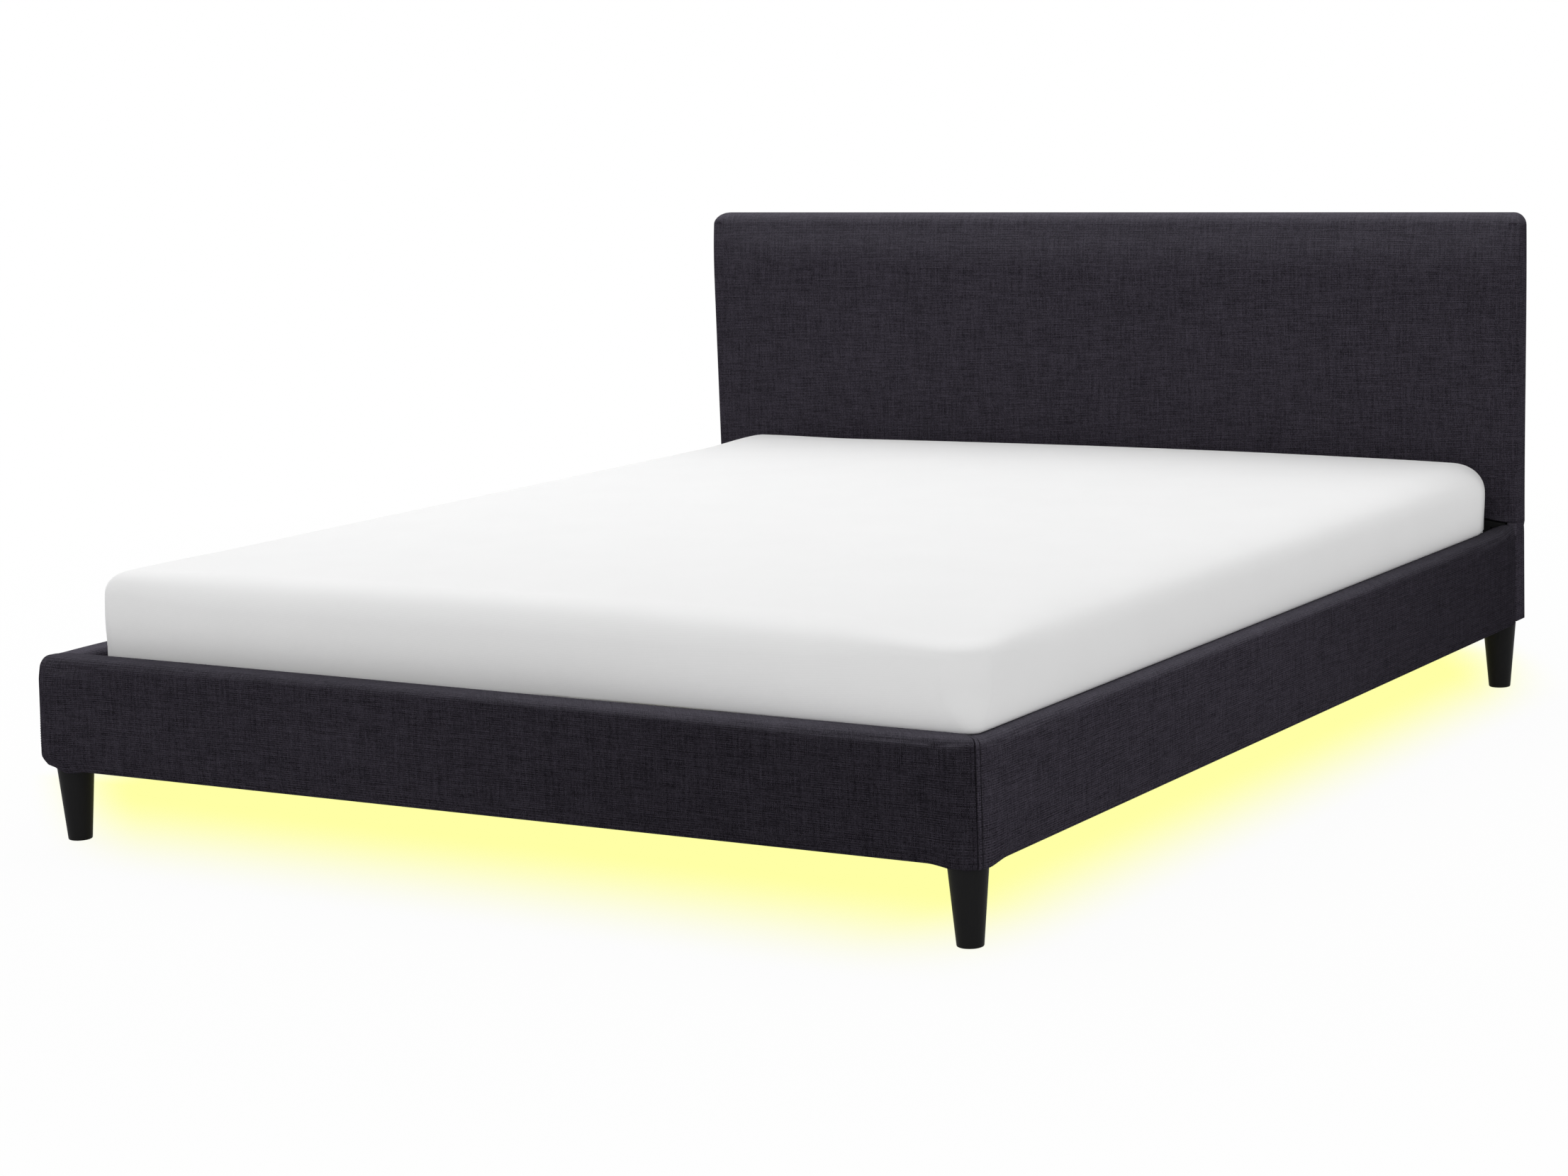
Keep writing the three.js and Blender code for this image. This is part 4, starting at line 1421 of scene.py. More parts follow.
@dataclass
class HeadboardCover:
    """The padded cover of the headboard: a crowned front, wrapped edges and a stapled fold on the back.

    The front is a grid in x and z with rounded upper corners. From its border, a strip goes round the front edge,
    over the side, round the back edge and on to the fold, and comes back inside as the board's pocket.
    """

    half_width: float = 0.88
    low: float = 0.129
    high: float = 0.89
    front: float = 1.0182
    joint_front: float = 1.0152
    back: float = 1.0635
    corner_radius: float = 0.0238
    edge_radius: float = 0.023
    side_radius: float = 0.006
    joint_radius: float = 0.003
    back_radius: float = 0.004
    spread_low: float = 0.002
    spread_high: Pair = (0.0025, 0.0078)
    fold: float = 0.045
    rail_top: float = 0.305
    opening_half: float = 0.8605
    opening_top: float = 0.3212
    opening_fall: float = 0.0066
    opening_back: float = 1.0291
    welt_radius: float = 0.003
    welt_rise: float = 0.0012
    fall_back: float = 0.0065
    back_from: float = 0.735
    pocket_half: float = 0.8733
    pocket_low: float = 0.1317
    pocket_high: float = 0.8773
    pocket_radius: float = 0.0173
    pocket_front: float = 1.0293
    pocket_back: float = 1.061
    crown: float = 0.0032
    pressure: float = 2.0
    spacing: float = 0.01
    coarse_spacing: float = 0.026
    bead_steps: Row = (0.0, 0.0004, 0.001, 0.002, 0.0031)
    inner_step: float = 0.0006
    joint_width: float = 0.012
    stretch_from: float = 0.842
    fall_power: float = 2.6
    bead: Pair = (0.0022, 0.0016)
    crease: Pair = (0.004, 0.0012)
    fall_from: Pair = (0.8, 0.06)
    fall_height: float = 0.05
    spread_reach: float = 0.55
    spread_from: Pair = (0.5, 0.35)
    fine_rows: Counts = (6, 8, 4, 5)
    coarse_rows: Counts = (2, 3, 1, 2)
    quick_reach: float = 0.15
    crown_reach: float = 0.05
    free_gap: float = 0.004
    free_width: float = 0.03
    cloth_start: float = 3.0

    def columns(self, spacing: float, fine: bool) -> Array:
        """Where the front's columns stand, the same on both sides of the middle.

        Args:
            spacing: The width of a plain cell.
            fine: Whether corners and bead have all their places.

        Returns:
            The places, rising.
        """
        flat = self.half_width - self.side_radius
        corner = self.half_width - self.corner_radius
        open_at = self.opening_half
        steps = 6 if fine else 2
        half = [np.linspace(0, open_at - self.inner_step, round(open_at / spacing)), self.bead_at(open_at, fine)]
        right = np.unique(np.round(np.concatenate([*half, np.linspace(corner, flat, steps + 1)]), 7))
        return np.concatenate([-right[:0:-1], right])

    def rows(self, spacing: float, fine: bool) -> Array:
        """Where the front's rows stand.

        Args:
            spacing, fine: As for the columns.

        Returns:
            The places, rising.
        """
        low = self.low + self.joint_radius
        corner = self.high - self.corner_radius
        steps = 6 if fine else 2
        open_at = self.opening_top
        parts = [
            np.linspace(low, open_at - self.inner_step, round((open_at - low) / spacing) + 1),
            self.bead_at(open_at, fine),
            np.linspace(open_at + self.bead_steps[-1] + spacing, corner, round((corner - open_at) / spacing)),
            np.linspace(corner, self.high - self.edge_radius, steps + 1),
        ]
        return np.unique(np.round(np.concatenate(parts), 7))

    def bead_at(self, place: float, fine: bool) -> Array:
        """Places on the bead past the opening's edge, or only its two ends."""
        return place + np.array(self.bead_steps if fine else self.bead_steps[:: len(self.bead_steps) - 1])

    def joint(self, height: Array) -> Array:
        """1 beside the rails and 0 above them."""
        return 1 - ease((height - self.rail_top + self.joint_width / 2) / self.joint_width)

    def front_grid(self, columns: Array, rows: Array) -> Arrays:
        """The front's points and the outward direction of its border in the plane.

        Beside the rails the side edge is tight, above them it is round, so the outer columns stretch to its start.
        The opening for the lining has a bead along its edge, and a crease runs on from its corner to the side.
        In an upper corner, a square becomes a quarter disc: (a, b) goes to a sqrt(1 - b^2/2), b sqrt(1 - a^2/2).

        Args:
            columns, rows: The places across and up.

        Returns:
            The grid of points, and a grid of directions that only the border uses.
        """
        x, z = np.meshgrid(columns, rows)
        side = np.sign(x)
        flat = self.half_width - self.side_radius
        corner = self.half_width - self.corner_radius
        tight = self.side_radius - self.joint_radius
        x = x + side * ease((np.abs(x) - self.stretch_from) / (flat - self.stretch_from)) * tight * self.joint(z)
        a = np.clip((np.abs(x) - corner) / (flat - corner), 0, 1)
        b = np.clip((z - self.high + self.corner_radius) / (self.corner_radius - self.edge_radius), 0, 1)
        upper = (a > 0) & (b > 0)
        round_a, round_b = a * np.sqrt(1 - b**2 / 2), b * np.sqrt(1 - a**2 / 2)
        share = np.maximum(np.hypot(round_a, round_b), 1e-9)
        cos, sin = round_a / share, round_b / share
        reach = share * (self.corner_radius - self.side_radius - (self.edge_radius - self.side_radius) * sin**2)
        x = np.where(upper, side * (corner + reach * cos), x)
        z = np.where(upper, self.high - self.corner_radius + reach * sin, z)
        up_back = np.clip((z - self.back_from) / (self.high - self.edge_radius - self.back_from), 0, 1)
        front = between(self.front, self.joint_front, self.joint(z)) + self.fall_back * up_back**self.fall_power
        outside = np.maximum(np.abs(x) - self.opening_half, z - self.opening_top)
        turned = np.clip(self.welt_radius - outside, 0, self.welt_radius)
        welt = self.welt_radius - np.sqrt(self.welt_radius**2 - turned**2)
        welt = welt - self.welt_rise * np.exp(-(((outside - self.bead[0]) / self.bead[1]) ** 2))
        beyond = ease((np.abs(x) - self.opening_half) / self.crease[0])
        welt = welt + self.welt_rise * beyond * np.exp(-(((z - self.opening_top) / self.crease[1]) ** 2))
        y = np.where(outside < -1e-5, self.opening_back, front + welt)
        fall = ramp(np.abs(x), self.fall_from)
        fall = fall * (1 - ease(np.abs(z - self.opening_top) / self.fall_height))
        across = np.zeros_like(x)
        up = np.zeros_like(x)
        across[:, -1], across[:, 0] = 1, -1
        up[-1], up[0] = 1, -1
        edge = upper & (across * across + up * up > 0)
        across = np.where(edge, side * cos, across)
        up = np.where(edge, sin, up)
        wide = np.where(side > 0, self.spread_high[1], self.spread_high[0])
        spread = between(self.spread_low, wide, ease((z - self.rail_top) / self.spread_reach))
        x = x + side * spread * ramp(np.abs(x), self.spread_from) * (1 - self.joint(z) / 2)
        return np.stack([x, y, z - self.opening_fall * fall], axis=-1), np.stack([across, up], axis=-1)

    def strip(self, border: Array, outwards: Array, fine: bool) -> Arrays:
        """The strip from the front's border over the side to the fold on the back.

        Each point stands outset from the border along the outward direction: on the front edge outset r sin t and
        depth r (1 - cos t), then straight back, then the same turn round the back edge and straight in to the fold.

        Args:
            border: The points of the front's border.
            outwards: The outward direction at each of them.
            fine: Whether the strip has all its rows.

        Returns:
            The rows of points, and how far each lies from the border along the cloth.
        """
        radius = self.side_radius + (self.edge_radius - self.side_radius) * np.maximum(outwards[:, 1], 0) ** 2
        radius = radius + (self.joint_radius - self.side_radius) * self.joint(border[:, 2])
        radius = np.where(outwards[:, 1] < -0.5, self.joint_radius, radius)[None]
        start = border[None, :, 1]
        turn, side, turn_back, inward = (
            np.linspace(0, end, count + 1)[1:, None]
            for end, count in zip((pi / 2, 1, pi / 2, 1), self.fine_rows if fine else self.coarse_rows)
        )
        straight = start + radius
        last, back = self.back_radius, self.back
        outsets = (
            radius * np.sin(turn),
            radius + 0 * side,
            radius - last * (1 - np.cos(turn_back)),
            radius - last - (self.fold - last) * inward,
        )
        depths = (
            start + radius * (1 - np.cos(turn)),
            between(straight, back - last, side),
            back - last * (1 - np.sin(turn_back)) + 0 * radius,
            back + 0 * radius * inward,
        )
        outset, depth = np.concatenate(outsets), np.concatenate(depths)
        across, up = border[:, 0] + outwards[:, 0] * outset, border[:, 2] + outwards[:, 1] * outset
        points = np.stack([across, depth, up], axis=-1)
        steps = np.linalg.norm(np.diff(np.concatenate([border[None], points]), axis=0), axis=-1)
        return points, np.cumsum(steps, axis=0)

    def pocket(self, border: Array, outwards: Array) -> Arrays:
        """The pocket's outline, one point for each border point.

        Args:
            border: The points of the front's border.
            outwards: The outward direction at each of them.

        Returns:
            The outline in x and in z.
        """
        inner = self.pocket_half - self.pocket_radius
        below = outwards[:, 1] < -0.5
        x = np.clip(border[:, 0], -inner, inner) + outwards[:, 0] * self.pocket_radius
        z = np.clip(border[:, 2], self.pocket_low, self.pocket_high - self.pocket_radius)
        z = z + np.maximum(outwards[:, 1], 0) * self.pocket_radius
        x = np.where(below, np.clip(border[:, 0], -self.pocket_half, self.pocket_half), x)
        flat_top = (outwards[:, 1] > 0.999) & (np.abs(x) < inner)
        z = np.where(flat_top, self.pocket_high, z)
        return x, np.where(below, self.pocket_low, z)

    def swollen(self, columns: Array, rows: Array) -> Array:
        """How far the padding moves the front, from a coarse cloth run that is held along the fold and the welt.

        Args:
            columns, rows: The fine grid's places.

        Returns:
            The move of each point of the fine front grid.
        """
        few_columns, few_rows = self.columns(self.coarse_spacing, False), self.rows(self.coarse_spacing, False)
        grid, outwards = self.front_grid(few_columns, few_rows)
        strip, _ = self.strip(rim(grid), rim(outwards), False)
        skin = Skin()
        front = skin.add(grid)
        wrapped = skin.add(strip)
        skin.sheet(front[::-1])
        skin.sheet(np.concatenate([rim(front)[None], wrapped]), closed=True)
        held = np.zeros(skin.count, bool)
        held[wrapped[-1]] = True
        inside = (np.abs(grid[..., 0]) < self.opening_half + 0.001) & (grid[..., 2] < self.opening_top + 0.001)
        held[front[inside]] = True
        most = np.full(skin.count, self.crown)
        swelling = Swelling(pressure=self.pressure)
        move = swelling.push(np.concatenate(skin.points), np.concatenate(skin.faces), held, most)[front]
        return np.einsum("ra,abx,cb->rcx", cubic_weights(rows, few_rows), move, cubic_weights(columns, few_columns))

    def build(self, finish: Material) -> Piece:
        """Makes the cover.

        Args:
            finish: The cloth.

        Returns:
            The piece, standing for its solid.
        """
        columns, rows = self.columns(self.spacing, True), self.rows(self.spacing, True)
        grid, outwards = self.front_grid(columns, rows)
        border, border_out = rim(grid), rim(outwards)
        strip, reach = self.strip(border, border_out, True)
        inside = np.minimum(self.half_width - np.abs(grid[..., 0]), self.high - grid[..., 2])
        over_opening = ease((self.opening_half + self.free_gap - np.abs(grid[..., 0])) / self.free_width)
        over_opening = over_opening * ease((self.opening_top + self.free_width - grid[..., 2]) / self.free_width)
        move = self.swollen(columns, rows)
        grid[..., 1] += move[..., 1] * ease((inside - self.edge_radius) / self.crown_reach) * (1 - over_opening)
        cloth = grid[..., [0, 2]] + self.cloth_start
        strip_cloth = cloth_beyond(rim(cloth), border_out, reach)
        skin = Skin()
        front = skin.add(grid, cloth)
        wrapped = skin.add(strip, strip_cloth)
        pocket_x, pocket_z = self.pocket(border, border_out)
        fold = strip[-1]
        rings = [(fold[:, 0], self.pocket_back, fold[:, 2])]
        rings += [(pocket_x, depth, pocket_z) for depth in (self.pocket_back, self.pocket_front)]
        inner = np.stack([np.stack([x, 0 * x + y, z], axis=-1) for x, y, z in rings])
        lining = skin.add(inner)
        skin.sheet(front)
        skin.sheet(np.concatenate([rim(front)[None], wrapped, lining]), closed=True)
        edges = unrolled(inner[-1], len(columns) - 1, len(rows) - 1)
        skin.sheet(skin.add(coons(*edges)))
        piece = skin.make("headboard_upholstery", finish, 60)
        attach(piece, BED)
        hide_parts("headboard_cover")
        return piece


def cloth_beyond(border: Array, outwards: Array, reach: Array) -> Array:
    """Cloth coordinates of rows past a border: the border's own, carried on outwards by each row's reach."""
    return border[None] + outwards[None] * reach[..., None]


@dataclass
class LiningEdge:
    """The turned-over top of the headboard's lower lining, seen above the rails inside the cover's opening."""

    half_width: float = 0.8585
    low: float = 0.3049
    high: float = 0.32
    fall: float = 0.0066
    front: float = 1.0178
    back: float = 1.0287
    radius: float = 0.0035
    slack: float = 0.0005
    waves: Triple = (31, 73, 1.3)
    fall_from: Pair = (0.8, 0.06)
    spacing: float = 0.012

    def build(self, finish: Material) -> Piece:
        """Makes the fold: a flat loop with a quarter circle at its upper front edge, carried across and closed.

        Its top falls towards both ends, and slow cosines keep its face from being quite flat.

        Args:
            finish: The lining.

        Returns:
            The piece.
        """
        x = np.linspace(-self.half_width, self.half_width, round(2 * self.half_width / self.spacing) + 1)[:, None]
        gone, left = quarter(5)
        rise = np.linspace(0, 1, 4)[:-1]
        depth = np.concatenate([0 * rise, self.radius * gone, [self.back - self.front] * 2])
        from_top = np.concatenate([0 * rise - self.radius, -self.radius * left, [0, 0]])
        share = np.concatenate([rise, np.ones(7), [0]])
        height = self.high - self.fall * ramp(np.abs(x), self.fall_from) - self.low
        slow, quick, turned = self.waves
        wave = self.slack * (np.cos(x * slow) + np.cos(x * quick + turned)) * (depth < self.radius)
        y = self.front + depth + wave
        z = self.low + (height + from_top) * share
        points = np.stack([np.broadcast_to(x, y.shape), y, z], axis=-1)
        ends = [np.broadcast_to(points[edge].mean(axis=0), (1, *points.shape[1:])) for edge in (0, -1)]
        skin = Skin()
        skin.sheet(skin.add(np.concatenate([ends[0], points, ends[1]])), closed=True)
        piece = skin.make("lower_lining_edge", finish)
        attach(piece, BED)
        return piece


@dataclass
class MattressPad:
    """The plain white mattress: flat below, soft wide upper edges and a slight crown.

    Its border has q, the place on the inner rectangle as shares of its half sizes, and n, the outward direction, so
    that a ring of any half sizes h and corner radius r is q (h - r) + n r.
    """

    centre: Pair = (0.01655, 0.00425)
    half: Pair = (0.81195, 1.00925)
    base: float = 0.2433
    thickness: float = 0.192
    crown: float = 0.004
    arch: float = 0.006
    lift: Pair = (0.006, -0.006)
    corner_radius: float = 0.028
    least_radius: float = 0.008
    sharp_radius: float = 0.005
    tight_edge: Pair = (0.028, 0.022)
    left_edge: Pair = (0.042, 0.037)
    rear_edge: Pair = (0.056, 0.06)
    soft_edge: Pair = (0.064, 0.05)
    soft_from: float = 0.24
    squareness: float = 2.3
    under_radius: float = 0.018
    drawn_in: float = 0.002
    left_lean: float = 0.0085
    left_rise: Pair = (0.0032, 0.0062)
    rear_arch: float = 0.003
    rear_fall: float = 0.004
    corner_fall: float = 0.013
    corner_reach: float = 0.24
    over_rail: Pair = (0.034, 0.02)
    over_foot: float = 0.0272
    over_foot_reach: float = 0.48
    rail_top: float = 0.3043
    rest_steps: Row = (0.0, 0.001, 0.0025, 0.005, 0.009)
    rest_shares: Pair = (0.86, 0.14)
    below_rest: float = 0.0005
    sharp_height: float = 0.06
    inset_share: float = 0.4
    round_power: float = 1.5
    rear_clear: float = 0.05
    lean_from: Pair = (0.345, 0.075)
    rise_reach: float = 0.12
    settle_from: Pair = (0.02, 0.11)
    crown_reach: float = 0.16
    cloth_start: float = 5.0
    across: int = 84
    along: int = 104
    corner_steps: int = 6

    def border(self) -> Arrays:
        """The shares q and directions n round the outline, from the lower left corner.

        Returns:
            The shares and the directions.
        """
        steps = self.corner_steps
        shares, outwards = [], []
        for turn, count in enumerate((self.across, self.along, self.across, self.along)):
            middle = turn * pi / 2 - pi / 2
            first = np.linspace(middle - pi / 4, middle, steps + 1)
            last = np.linspace(middle, middle + pi / 4, steps + 1)[:-1]
            angle = np.concatenate([first, np.full(count - 1, middle), last])
            share = np.concatenate([np.full(steps + 1, -1.0), np.linspace(-1, 1, count + 1)[1:-1], np.full(steps, 1.0)])
            ahead = np.array([-np.sin(middle), np.cos(middle)])
            out = np.array([np.cos(middle), np.sin(middle)])
            shares.append(share[:, None] * ahead + out)
            outwards.append(np.stack([np.cos(angle), np.sin(angle)], axis=-1))
        return np.concatenate(shares), np.concatenate(outwards)

    def ring(self, inset: Array, height: Array, shares: Array, outwards: Array) -> Array:
        """A ring of the outline drawn in by insets, at heights above the underside.

        The rings above the rails are pushed out over the right rail, most near the foot, and over the foot rail near
        its right end. Their corner there is sharp on the rails and rounder above. The left side leans in above.

        Args:
            inset, height: How far in and how high each border point lies.
            shares, outwards: The border's q and n.

        Returns:
            The points.
        """
        level = height + self.base
        low = np.where(level < self.rail_top, 0, 1 - ease((level - self.rail_top) / self.sharp_height))
        near = (1 + shares[:, 0]) * (1 - shares[:, 1]) / 4 * low
        radius = np.maximum(self.corner_radius - inset * self.inset_share, self.least_radius)
        radius = (radius + (self.sharp_radius - self.corner_radius) * near)[:, None]
        half = np.array(self.half) - inset[:, None]
        plan = shares * (half - radius) + outwards * radius
        back, right = ((plan[:, axis] / half[:, axis] + 1) / 2 for axis in (1, 0))
        kept = (1 - ease(inset / self.soft_edge[0])) * self.over(level)
        power = self.round_power - near
        sideways = between(*self.over_rail, back) * kept
        plan[:, 0] += sideways * np.maximum(outwards[:, 0], 0) ** power * ease((1 - back) / self.rear_clear)
        forwards = self.over_foot * ease((right - 1 + self.over_foot_reach) / self.over_foot_reach)
        plan[:, 1] -= forwards * kept * np.maximum(-outwards[:, 1], 0) ** power
        lean = ramp(level, self.lean_from)
        plan[:, 0] += self.left_lean * np.maximum(-outwards[:, 0], 0) * lean
        return np.concatenate([plan + np.array(self.centre), level[:, None]], axis=1)

    def over(self, height: Array) -> Array:
        """The share of the push at a height: a flat rest on the rail's top, then a tight round."""
        rise = np.clip((height - self.rail_top) / self.rest_steps[-1], 0, 1)
        share = self.rest_shares[0] + self.rest_shares[1] * np.sqrt(rise * (2 - rise))
        return np.where(height < self.rail_top, 0.0, share)

    def layers(self, shares: Array) -> list[Arrays]:
        """Insets and heights of each ring: the round underside, the sides, and the top edge.

        The top edge is a squared quarter ellipse: soft along the sides, tight at the front right and rear left corner
        and rounder at the other two.

        Args:
            shares: The border's q.

        Returns:
            The rings from below.
        """
        lengthwise = np.abs(shares[:, 0]) > np.abs(shares[:, 1])
        way = (1 - np.abs(shares).min(axis=1)) * np.where(lengthwise, self.half[1], self.half[0])
        soft = ease(way / self.soft_from)
        rear = ease(shares[:, 0]) * ease(shares[:, 1])
        left = ease(-shares[:, 0]) * ease(-shares[:, 1])
        reach, drop = (
            (tight + (far - tight) * rear + (near - tight) * left) * (1 - soft) + wide * soft
            for tight, far, near, wide in zip(self.tight_edge, self.rear_edge, self.left_edge, self.soft_edge)
        )
        shoulder = self.thickness - drop
        none = np.zeros_like(reach)
        r = self.under_radius
        turned = [(none + r * left, none + r * gone) for gone, left in zip(*quarter(5))]
        rest = self.rail_top - self.base
        low = [none + height for height in np.linspace(r, rest - self.below_rest, 6)[1:]]
        over = [none + rest + height for height in self.rest_steps]
        high = [between(rest + self.rest_steps[-1], shoulder, share) for share in np.linspace(0, 1, 11)[1:]]
        sides = [(self.drawn_in * np.sin(pi * height / shoulder) ** 2, height) for height in low + over + high]
        power = 2 / self.squareness
        turns = np.linspace(0, pi / 2, 24)[1:]
        edge = [(reach * (1 - np.cos(turn) ** power), shoulder + drop * np.sin(turn) ** power) for turn in turns]
        return turned + sides + edge

    def settle(self, grid: Array) -> None:
        """Raises the top towards the foot and the near left and arches it across the bed, less and less down the sides.

        The arch grows towards the head, and the left side falls there with the square of the way. The near right corner
        falls by its distance.

        Args:
            grid: The points, changed in place.
        """
        back = (grid[..., 1] - self.centre[1]) / self.half[1] / 2 + 0.5
        side = np.clip((grid[..., 0] - self.centre[0]) / self.half[0], -1, 1)
        left = np.maximum(-side, 0)
        rise = between(*self.lift, back) + (self.arch + self.rear_arch * back**2) * (1 - np.abs(side) ** 3)
        rise = rise + between(*self.left_rise, ease(back / self.rise_reach)) * left**4
        rise = rise - self.rear_fall * back**2 * left
        distance = np.hypot((1 - side) * self.half[0], back * 2 * self.half[1])
        rise = rise - self.corner_fall * (1 - ease(distance / self.corner_reach))
        grid[..., 2] += rise * ramp(grid[..., 2] - self.rail_top, self.settle_from)

    def build(self, finish: Material) -> Piece:
        """Makes the mattress.

        Args:
            finish: The ticking.

        Returns:
            The piece, standing for its solid.
        """
        shares, outwards = self.border()
        rings = np.stack([self.ring(inset, height, shares, outwards) for inset, height in self.layers(shares)])
        steps = np.linalg.norm(np.diff(rings, axis=0), axis=-1)
        reach = np.concatenate([np.cumsum(steps[::-1], axis=0)[::-1], np.zeros((1, len(shares)))])
        count_across, count_along = self.across + 2 * self.corner_steps, self.along + 2 * self.corner_steps
        top = coons(*unrolled(rings[-1], count_across, count_along))
        inset = np.array(self.half) - np.abs(top[..., :2] - self.centre) - self.soft_edge[0]
        softened = 1 - np.exp(-np.maximum(inset, 0) / self.crown_reach)
        top[..., 2] += self.crown * softened[..., 0] * softened[..., 1]
        self.settle(rings)
        self.settle(top)
        skin = Skin()
        sides_at = skin.add(rings, cloth_beyond(rings[-1][:, :2], outwards, reach))
        top_at = skin.add(top, top[..., :2])
        bottom = coons(*unrolled(rings[0], count_across, count_along))
        bottom_at = skin.add(bottom, bottom[..., :2] + self.cloth_start)
        skin.sheet(sides_at, closed=True)
        skin.sheet(top_at)
        skin.sheet(bottom_at)
        piece = skin.make("mattress_pad", finish)
        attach(piece, "mattress")
        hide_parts("mattress")
        return piece


@dataclass
class TurnedLegs:
    """Four turned legs: round tapers with an eased foot, standing where the solids stand."""

    height: float = 0.1237
    top_radius: float = 0.0305
    foot_radius: float = 0.02
    foot_bevel: float = 0.0022
    top_bevel: float = 0.0008
    bore_radius: float = 0.0045
    bore_depth: float = 0.0285
    sides: int = 96

    def profile(self) -> Array:
        """Radius and height pairs from the middle of the foot to the bottom of the bore.

        Returns:
            One row for each pair.
        """
        (gone, left), share = quarter(5), np.linspace(0, 1, 14)[1:]
        foot = (self.foot_radius - self.foot_bevel * left, self.foot_bevel * gone)
        heights = between(self.foot_bevel, self.height - self.top_bevel, share)
        taper = (between(self.foot_radius, self.top_radius, share), heights)
        floor = self.height - self.bore_depth
        bore_radii = (self.top_radius - self.top_bevel, self.bore_radius, self.bore_radius, 0.0)
        bore = (bore_radii, (self.height, self.height, floor, floor))
        return np.concatenate([np.zeros((1, 2)), *(np.stack(part, axis=-1) for part in (foot, taper, bore))])

    def build(self, finish: Material) -> list[Piece]:
        """Makes the four legs, each standing for its solid.

        Args:
            finish: The lacquer.

        Returns:
            The pieces.
        """
        radius, height = np.split(self.profile(), 2, axis=1)
        turn = np.arange(self.sides) * 2 * pi / self.sides
        made = []
        for place in ("front_left", "front_right", "rear_left", "rear_right"):
            node = f"leg_{place}"
            low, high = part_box(node)
            middle = (low + high) / 2
            x, y = middle.x + radius * np.cos(turn), middle.y + radius * np.sin(turn)
            points = np.stack([x, y, height + 0 * turn], axis=-1)
            skin = Skin()
            skin.sheet(skin.add(points), closed=True)
            piece = skin.make(f"turned_leg_{place}", finish, 40)
            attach(piece, BED)
            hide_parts(node)
            made.append(piece)
        return made


@dataclass
class Dressing:
    """The finishes of the solids that stay in sight, by a word in their names."""

    finishes: dict[str, Material]

    def dress(self) -> int:
        """Gives each shown node the finish of the first word that its name has.

        Returns:
            How many nodes got one.
        """
        count = 0
        for node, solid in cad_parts.items():
            finish = next((finish for word, finish in self.finishes.items() if word in node), None)
            if finish is None or solid.hide_render:
                continue
            for slot in solid.material_slots:
                slot.material = finish
            count += 1
        return count


# Studio


@dataclass(frozen=True)
class Lamp:
    """A square soft lamp: where it hangs, what it points at, the length of its side and its power in watts."""

    name: str
    place: Triple
    aim: Triple
    size: float
    power: float

    def hang(self) -> None:
        """Puts the lamp in the scene."""
        data = bpy.data.lights.new(self.name, "AREA")
        data.shape = "SQUARE"
        data.size = self.size
        data.energy = self.power
        lamp = bpy.data.objects.new(self.name, data)
        lamp.location = self.place
        lamp.rotation_mode = "QUATERNION"
        lamp.rotation_quaternion = (Vector(self.aim) - Vector(self.place)).to_track_quat("-Z", "Y")
        bpy.context.scene.collection.objects.link(lamp)


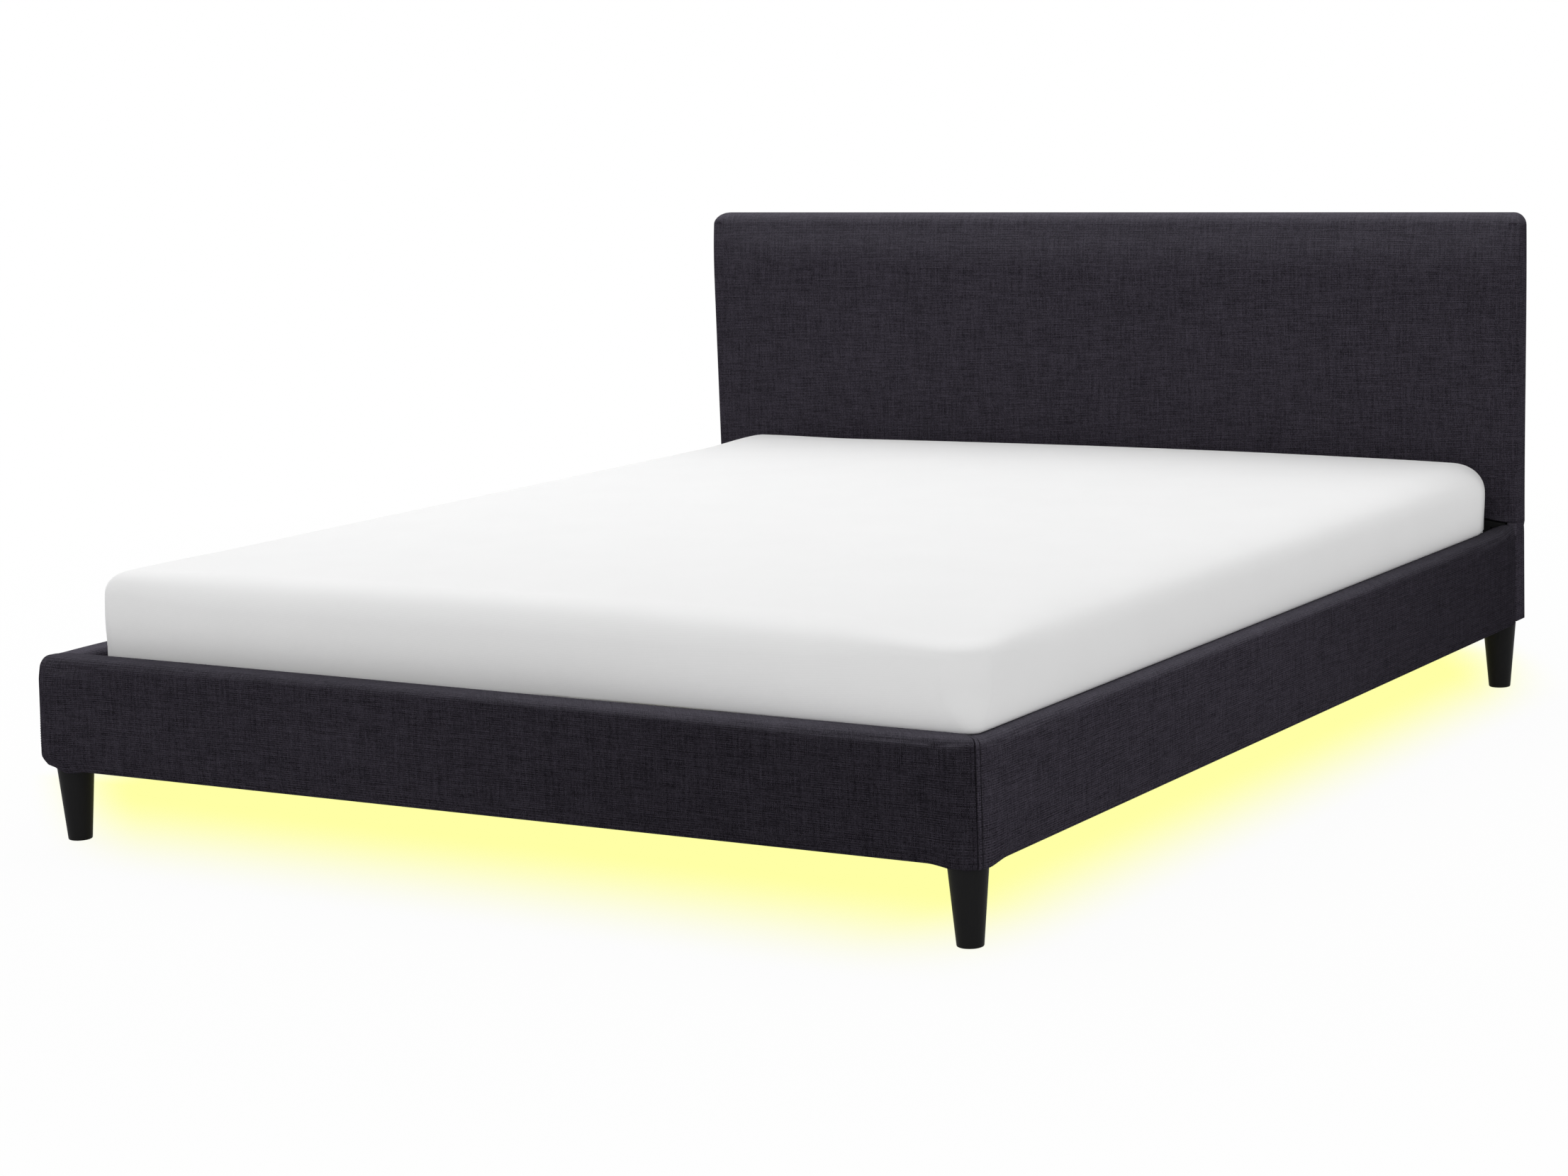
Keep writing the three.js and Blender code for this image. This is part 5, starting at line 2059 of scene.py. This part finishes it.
@dataclass
class Studio:
    """The camera at the photograph's place, plain soft light, and a white floor with the strips' pool of light."""

    eye: Triple = (3.2886, -5.3834, 1.3331)
    yaw: float = 0.5612
    pitch: float = 0.16122
    roll: float = -0.0369
    lens: float = 83.46
    ambient: float = 0.655
    pool: Colour = shade(255, 255, 166)
    foot_reach: Pair = (-0.18, 0.305)
    side_reach: Pair = (-0.114, 0.2)
    left_reach: Pair = (-0.033, 0.228)
    left_slant: float = 0.38
    head_reach: Pair = (-0.5, -0.25)
    far_line: float = 2.586
    far_reach: Pair = (0.0, 0.417)
    shadow_share: float = 0.05
    shadow_reach: float = 1.9
    skews: Triple = (0.0166, 0.0246, 1.5)
    floor_tones: Pair = (0.84, 0.86)
    floor_grain: float = 40
    floor_half: float = 40.0
    lamps: tuple[Lamp, ...] = (
        Lamp("over_head_end", (0.2, 2.4, 4.6), (0.0, 1.0, 0.3), 4.0, 66),
        Lamp("over_left", (-3.2, 0.2, 4.6), (0.0, 0.0, 0.3), 4.0, 73),
        Lamp("front_left", (-5.0, -6.0, 2.2), (0.0, 0.5, 0.5), 3.0, 12),
        Lamp("near_corner", (8.4, -12.6, 3.5), (0.0, 0.0, 0.4), 4.2, 190),
    )

    def camera(self) -> None:
        """Places the camera: forward from yaw and pitch, then the roll about it."""
        yaw, pitch, roll = self.yaw, self.pitch, self.roll
        forward = np.array([-np.sin(yaw) * np.cos(pitch), np.cos(yaw) * np.cos(pitch), -np.sin(pitch)])
        level = np.array([np.cos(yaw), np.sin(yaw), 0.0])
        upright = np.cross(level, forward)
        right = np.cos(roll) * level + np.sin(roll) * upright
        up = -np.sin(roll) * level + np.cos(roll) * upright
        turn = np.eye(4)
        turn[:3] = np.column_stack([right, up, -forward, self.eye])
        data = bpy.data.cameras.new("camera")
        data.lens = self.lens
        data.sensor_width = 36
        camera = bpy.data.objects.new("camera", data)
        camera.matrix_world = Matrix(turn.tolist())
        bpy.context.scene.collection.objects.link(camera)
        bpy.context.scene.camera = camera

    def seen(self, shader: Shader) -> Value:
        """1 for rays that show the background: camera, mirror and see-through rays."""
        path = shader.node("LightPath")
        rays = ("Camera", "Glossy", "Transmission")
        camera, glossy, through = (Value(shader, path.outputs[f"Is {ray} Ray"]) for ray in rays)
        return (camera + glossy + through).held()

    def world(self) -> None:
        """A grey soft sky that shows as white."""
        world = bpy.data.worlds.new("studio")
        shader = Shader(world)
        strength = self.seen(shader) * (1 - self.ambient) + self.ambient
        shader.shown(shader.out("Background", None, {"Color": (1.0, 1.0, 1.0, 1.0), "Strength": strength}))
        bpy.context.scene.world = world

    def floor(self) -> None:
        """A white floor that keeps a soft shadow near the bed and shows the pool of light inside the bed's outline.

        The pool is the product of one eased step for each side of the bed, from outside to inside of it. Its left side
        first slants outwards and its far right corner is cut off.
        """
        low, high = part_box("foot_rail_cover")[0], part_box("headboard_cover")[1]
        shader = Shader.named("studio_floor")
        x, y, _ = shader.places()

        def step(inside: Value, reach: Pair) -> Value:
            """An eased step over a reach of the distance inside the outline."""
            share = ((inside - reach[0]) * (1 / (reach[1] - reach[0]))).held()
            return share * share * (3 - 2 * share)

        slant = shader.maths("MINIMUM", y - low.y, self.left_slant)
        side_skew, front_skew, far_slope = self.skews
        sides = step(y * side_skew - x + high.x, self.side_reach) * step(x + high.x + slant, self.left_reach)
        front = step(x * front_skew + y - low.y, self.foot_reach)
        ends = front * step(self.far_line - x * far_slope - y, self.far_reach) * step(high.y - y, self.head_reach)
        pool = sides * ends
        grain = shader.noise(shader.vector(x * self.floor_grain, y * self.floor_grain), flat=True)
        white = shader.mix(grain, *((tone, tone, tone) for tone in self.floor_tones))
        plain = shader.out("BsdfDiffuse", None, {"Color": white})
        lit = shader.mix(pool, (1.0, 1.0, 1.0), self.pool)
        glow = shader.out("Emission", None, {"Color": lit, "Strength": 1.0})
        away = ((shader.maths("SQRT", x * x + y * y) - self.shadow_reach) / self.shadow_reach).held()
        share = self.seen(shader) * (1 - (1 - away) * (1 - pool) * self.shadow_share)
        shader.shown(shader.out("MixShader", None, {0: share, 1: plain, 2: glow}))
        corners = np.array([[-1, -1, 0], [1, -1, 0], [1, 1, 0], [-1, 1, 0]]) * self.floor_half
        plane = placed("studio_floor", mesh_of("studio_floor", corners, np.array([[0, 1, 2, 3]])), shader.owner)

    def light(self) -> None:
        """Two wide lamps overhead, a weak one towards the left and one towards the near corner."""
        for lamp in self.lamps:
            lamp.hang()


def logged(piece: Piece) -> None:
    """Logs a piece's name and how many faces it has."""
    LOG.info("%s: %d faces", piece.name, len(piece.data.polygons))


def main() -> None:
    """Builds the studio and the bed in order."""
    logging.basicConfig(level=logging.INFO, format="%(name)s: %(message)s")
    bpy.context.scene.view_settings.view_transform = "Standard"
    studio = Studio()
    studio.camera()
    felled = (0, RailCover.felled_width)
    side_seams = tuple(CLOTH_START[side] + reach for side in (Side.RIGHT, Side.LEFT) for reach in felled)
    foot_seams = (CLOTH_START[Side.FOOT], CLOTH_START[Side.FOOT] + RailCover.bed_width)
    # One cloth in three copies: their tones, 1.22, 1.36 and 1.02, paint the light and shade that the headboard, the
    # side rails and the foot rail get
    cloth = SlubWeave("slub_weave", tone=1.22, contrast=1.4, top_highlight=0.97, top_highlight_from=0.03, top_highlight_power=0.6).material()
    # side rails: painted shade darkens them towards the head end
    side_cloth = SlubWeave(
        "slub_weave_side", 1.36, side_seams, contrast=1.25, top_highlight_ends=(1.02, 0.5), painted_shade_from=-0.1, painted_shade_tone=0.53
    ).material()
    # foot rail: painted shade darkens it towards its right end
    fade = {"painted_shade_axis": 0, "painted_shade_from": -0.2, "painted_shade_to": 0.35, "painted_shade_tone": 0.79}
    foot_cloth = SlubWeave("slub_weave_foot", 1.02, foot_seams, top_highlight_ends=(0.72, 1.0), **fade).material()
    thread = Thread().material()
    for side in Side:
        rail = RailCover(side)
        logged(rail.build(foot_cloth if side is Side.FOOT else side_cloth))
        if side is not Side.FOOT:
            logged(SeamStitches(rail).build(thread))
    lining = Fleece().material()
    logged(HeadboardCover().build(cloth))
    logged(LiningEdge().build(lining))
    logged(MattressPad().build(MattressKnit().material()))
    for piece in TurnedLegs().build(BlackLacquer().material()):
        logged(piece)
    holder = MouldedPlastic("holder_plastic", shade(38, 38, 40), 0.5).material()
    steel = CoatedSteel("coated_steel", shade(40, 41, 43), 0.0, 0.45, 900).material()
    dressing = Dressing(
        {
            "_board": ChipBoard().material(),
            "lining": lining,
            "lower_panel": lining,
            "slat_ledge": holder,
            "slat_": BeechVeneer().material(),
            "led_strip": LightStrip().material(),
            "led_controller": MouldedPlastic("housing_plastic", shade(232, 232, 230), 0.4).material(),
            "leg_fixing": CoatedSteel("zinc_plate", shade(176, 180, 184), 1.0, 0.35, 500).material(),
            "beam": steel,
            "bracket": steel,
        }
    )
    LOG.info("%d nodes dressed", dressing.dress())
    studio.world()
    studio.floor()
    studio.light()


if __name__ == "__main__":
    main()
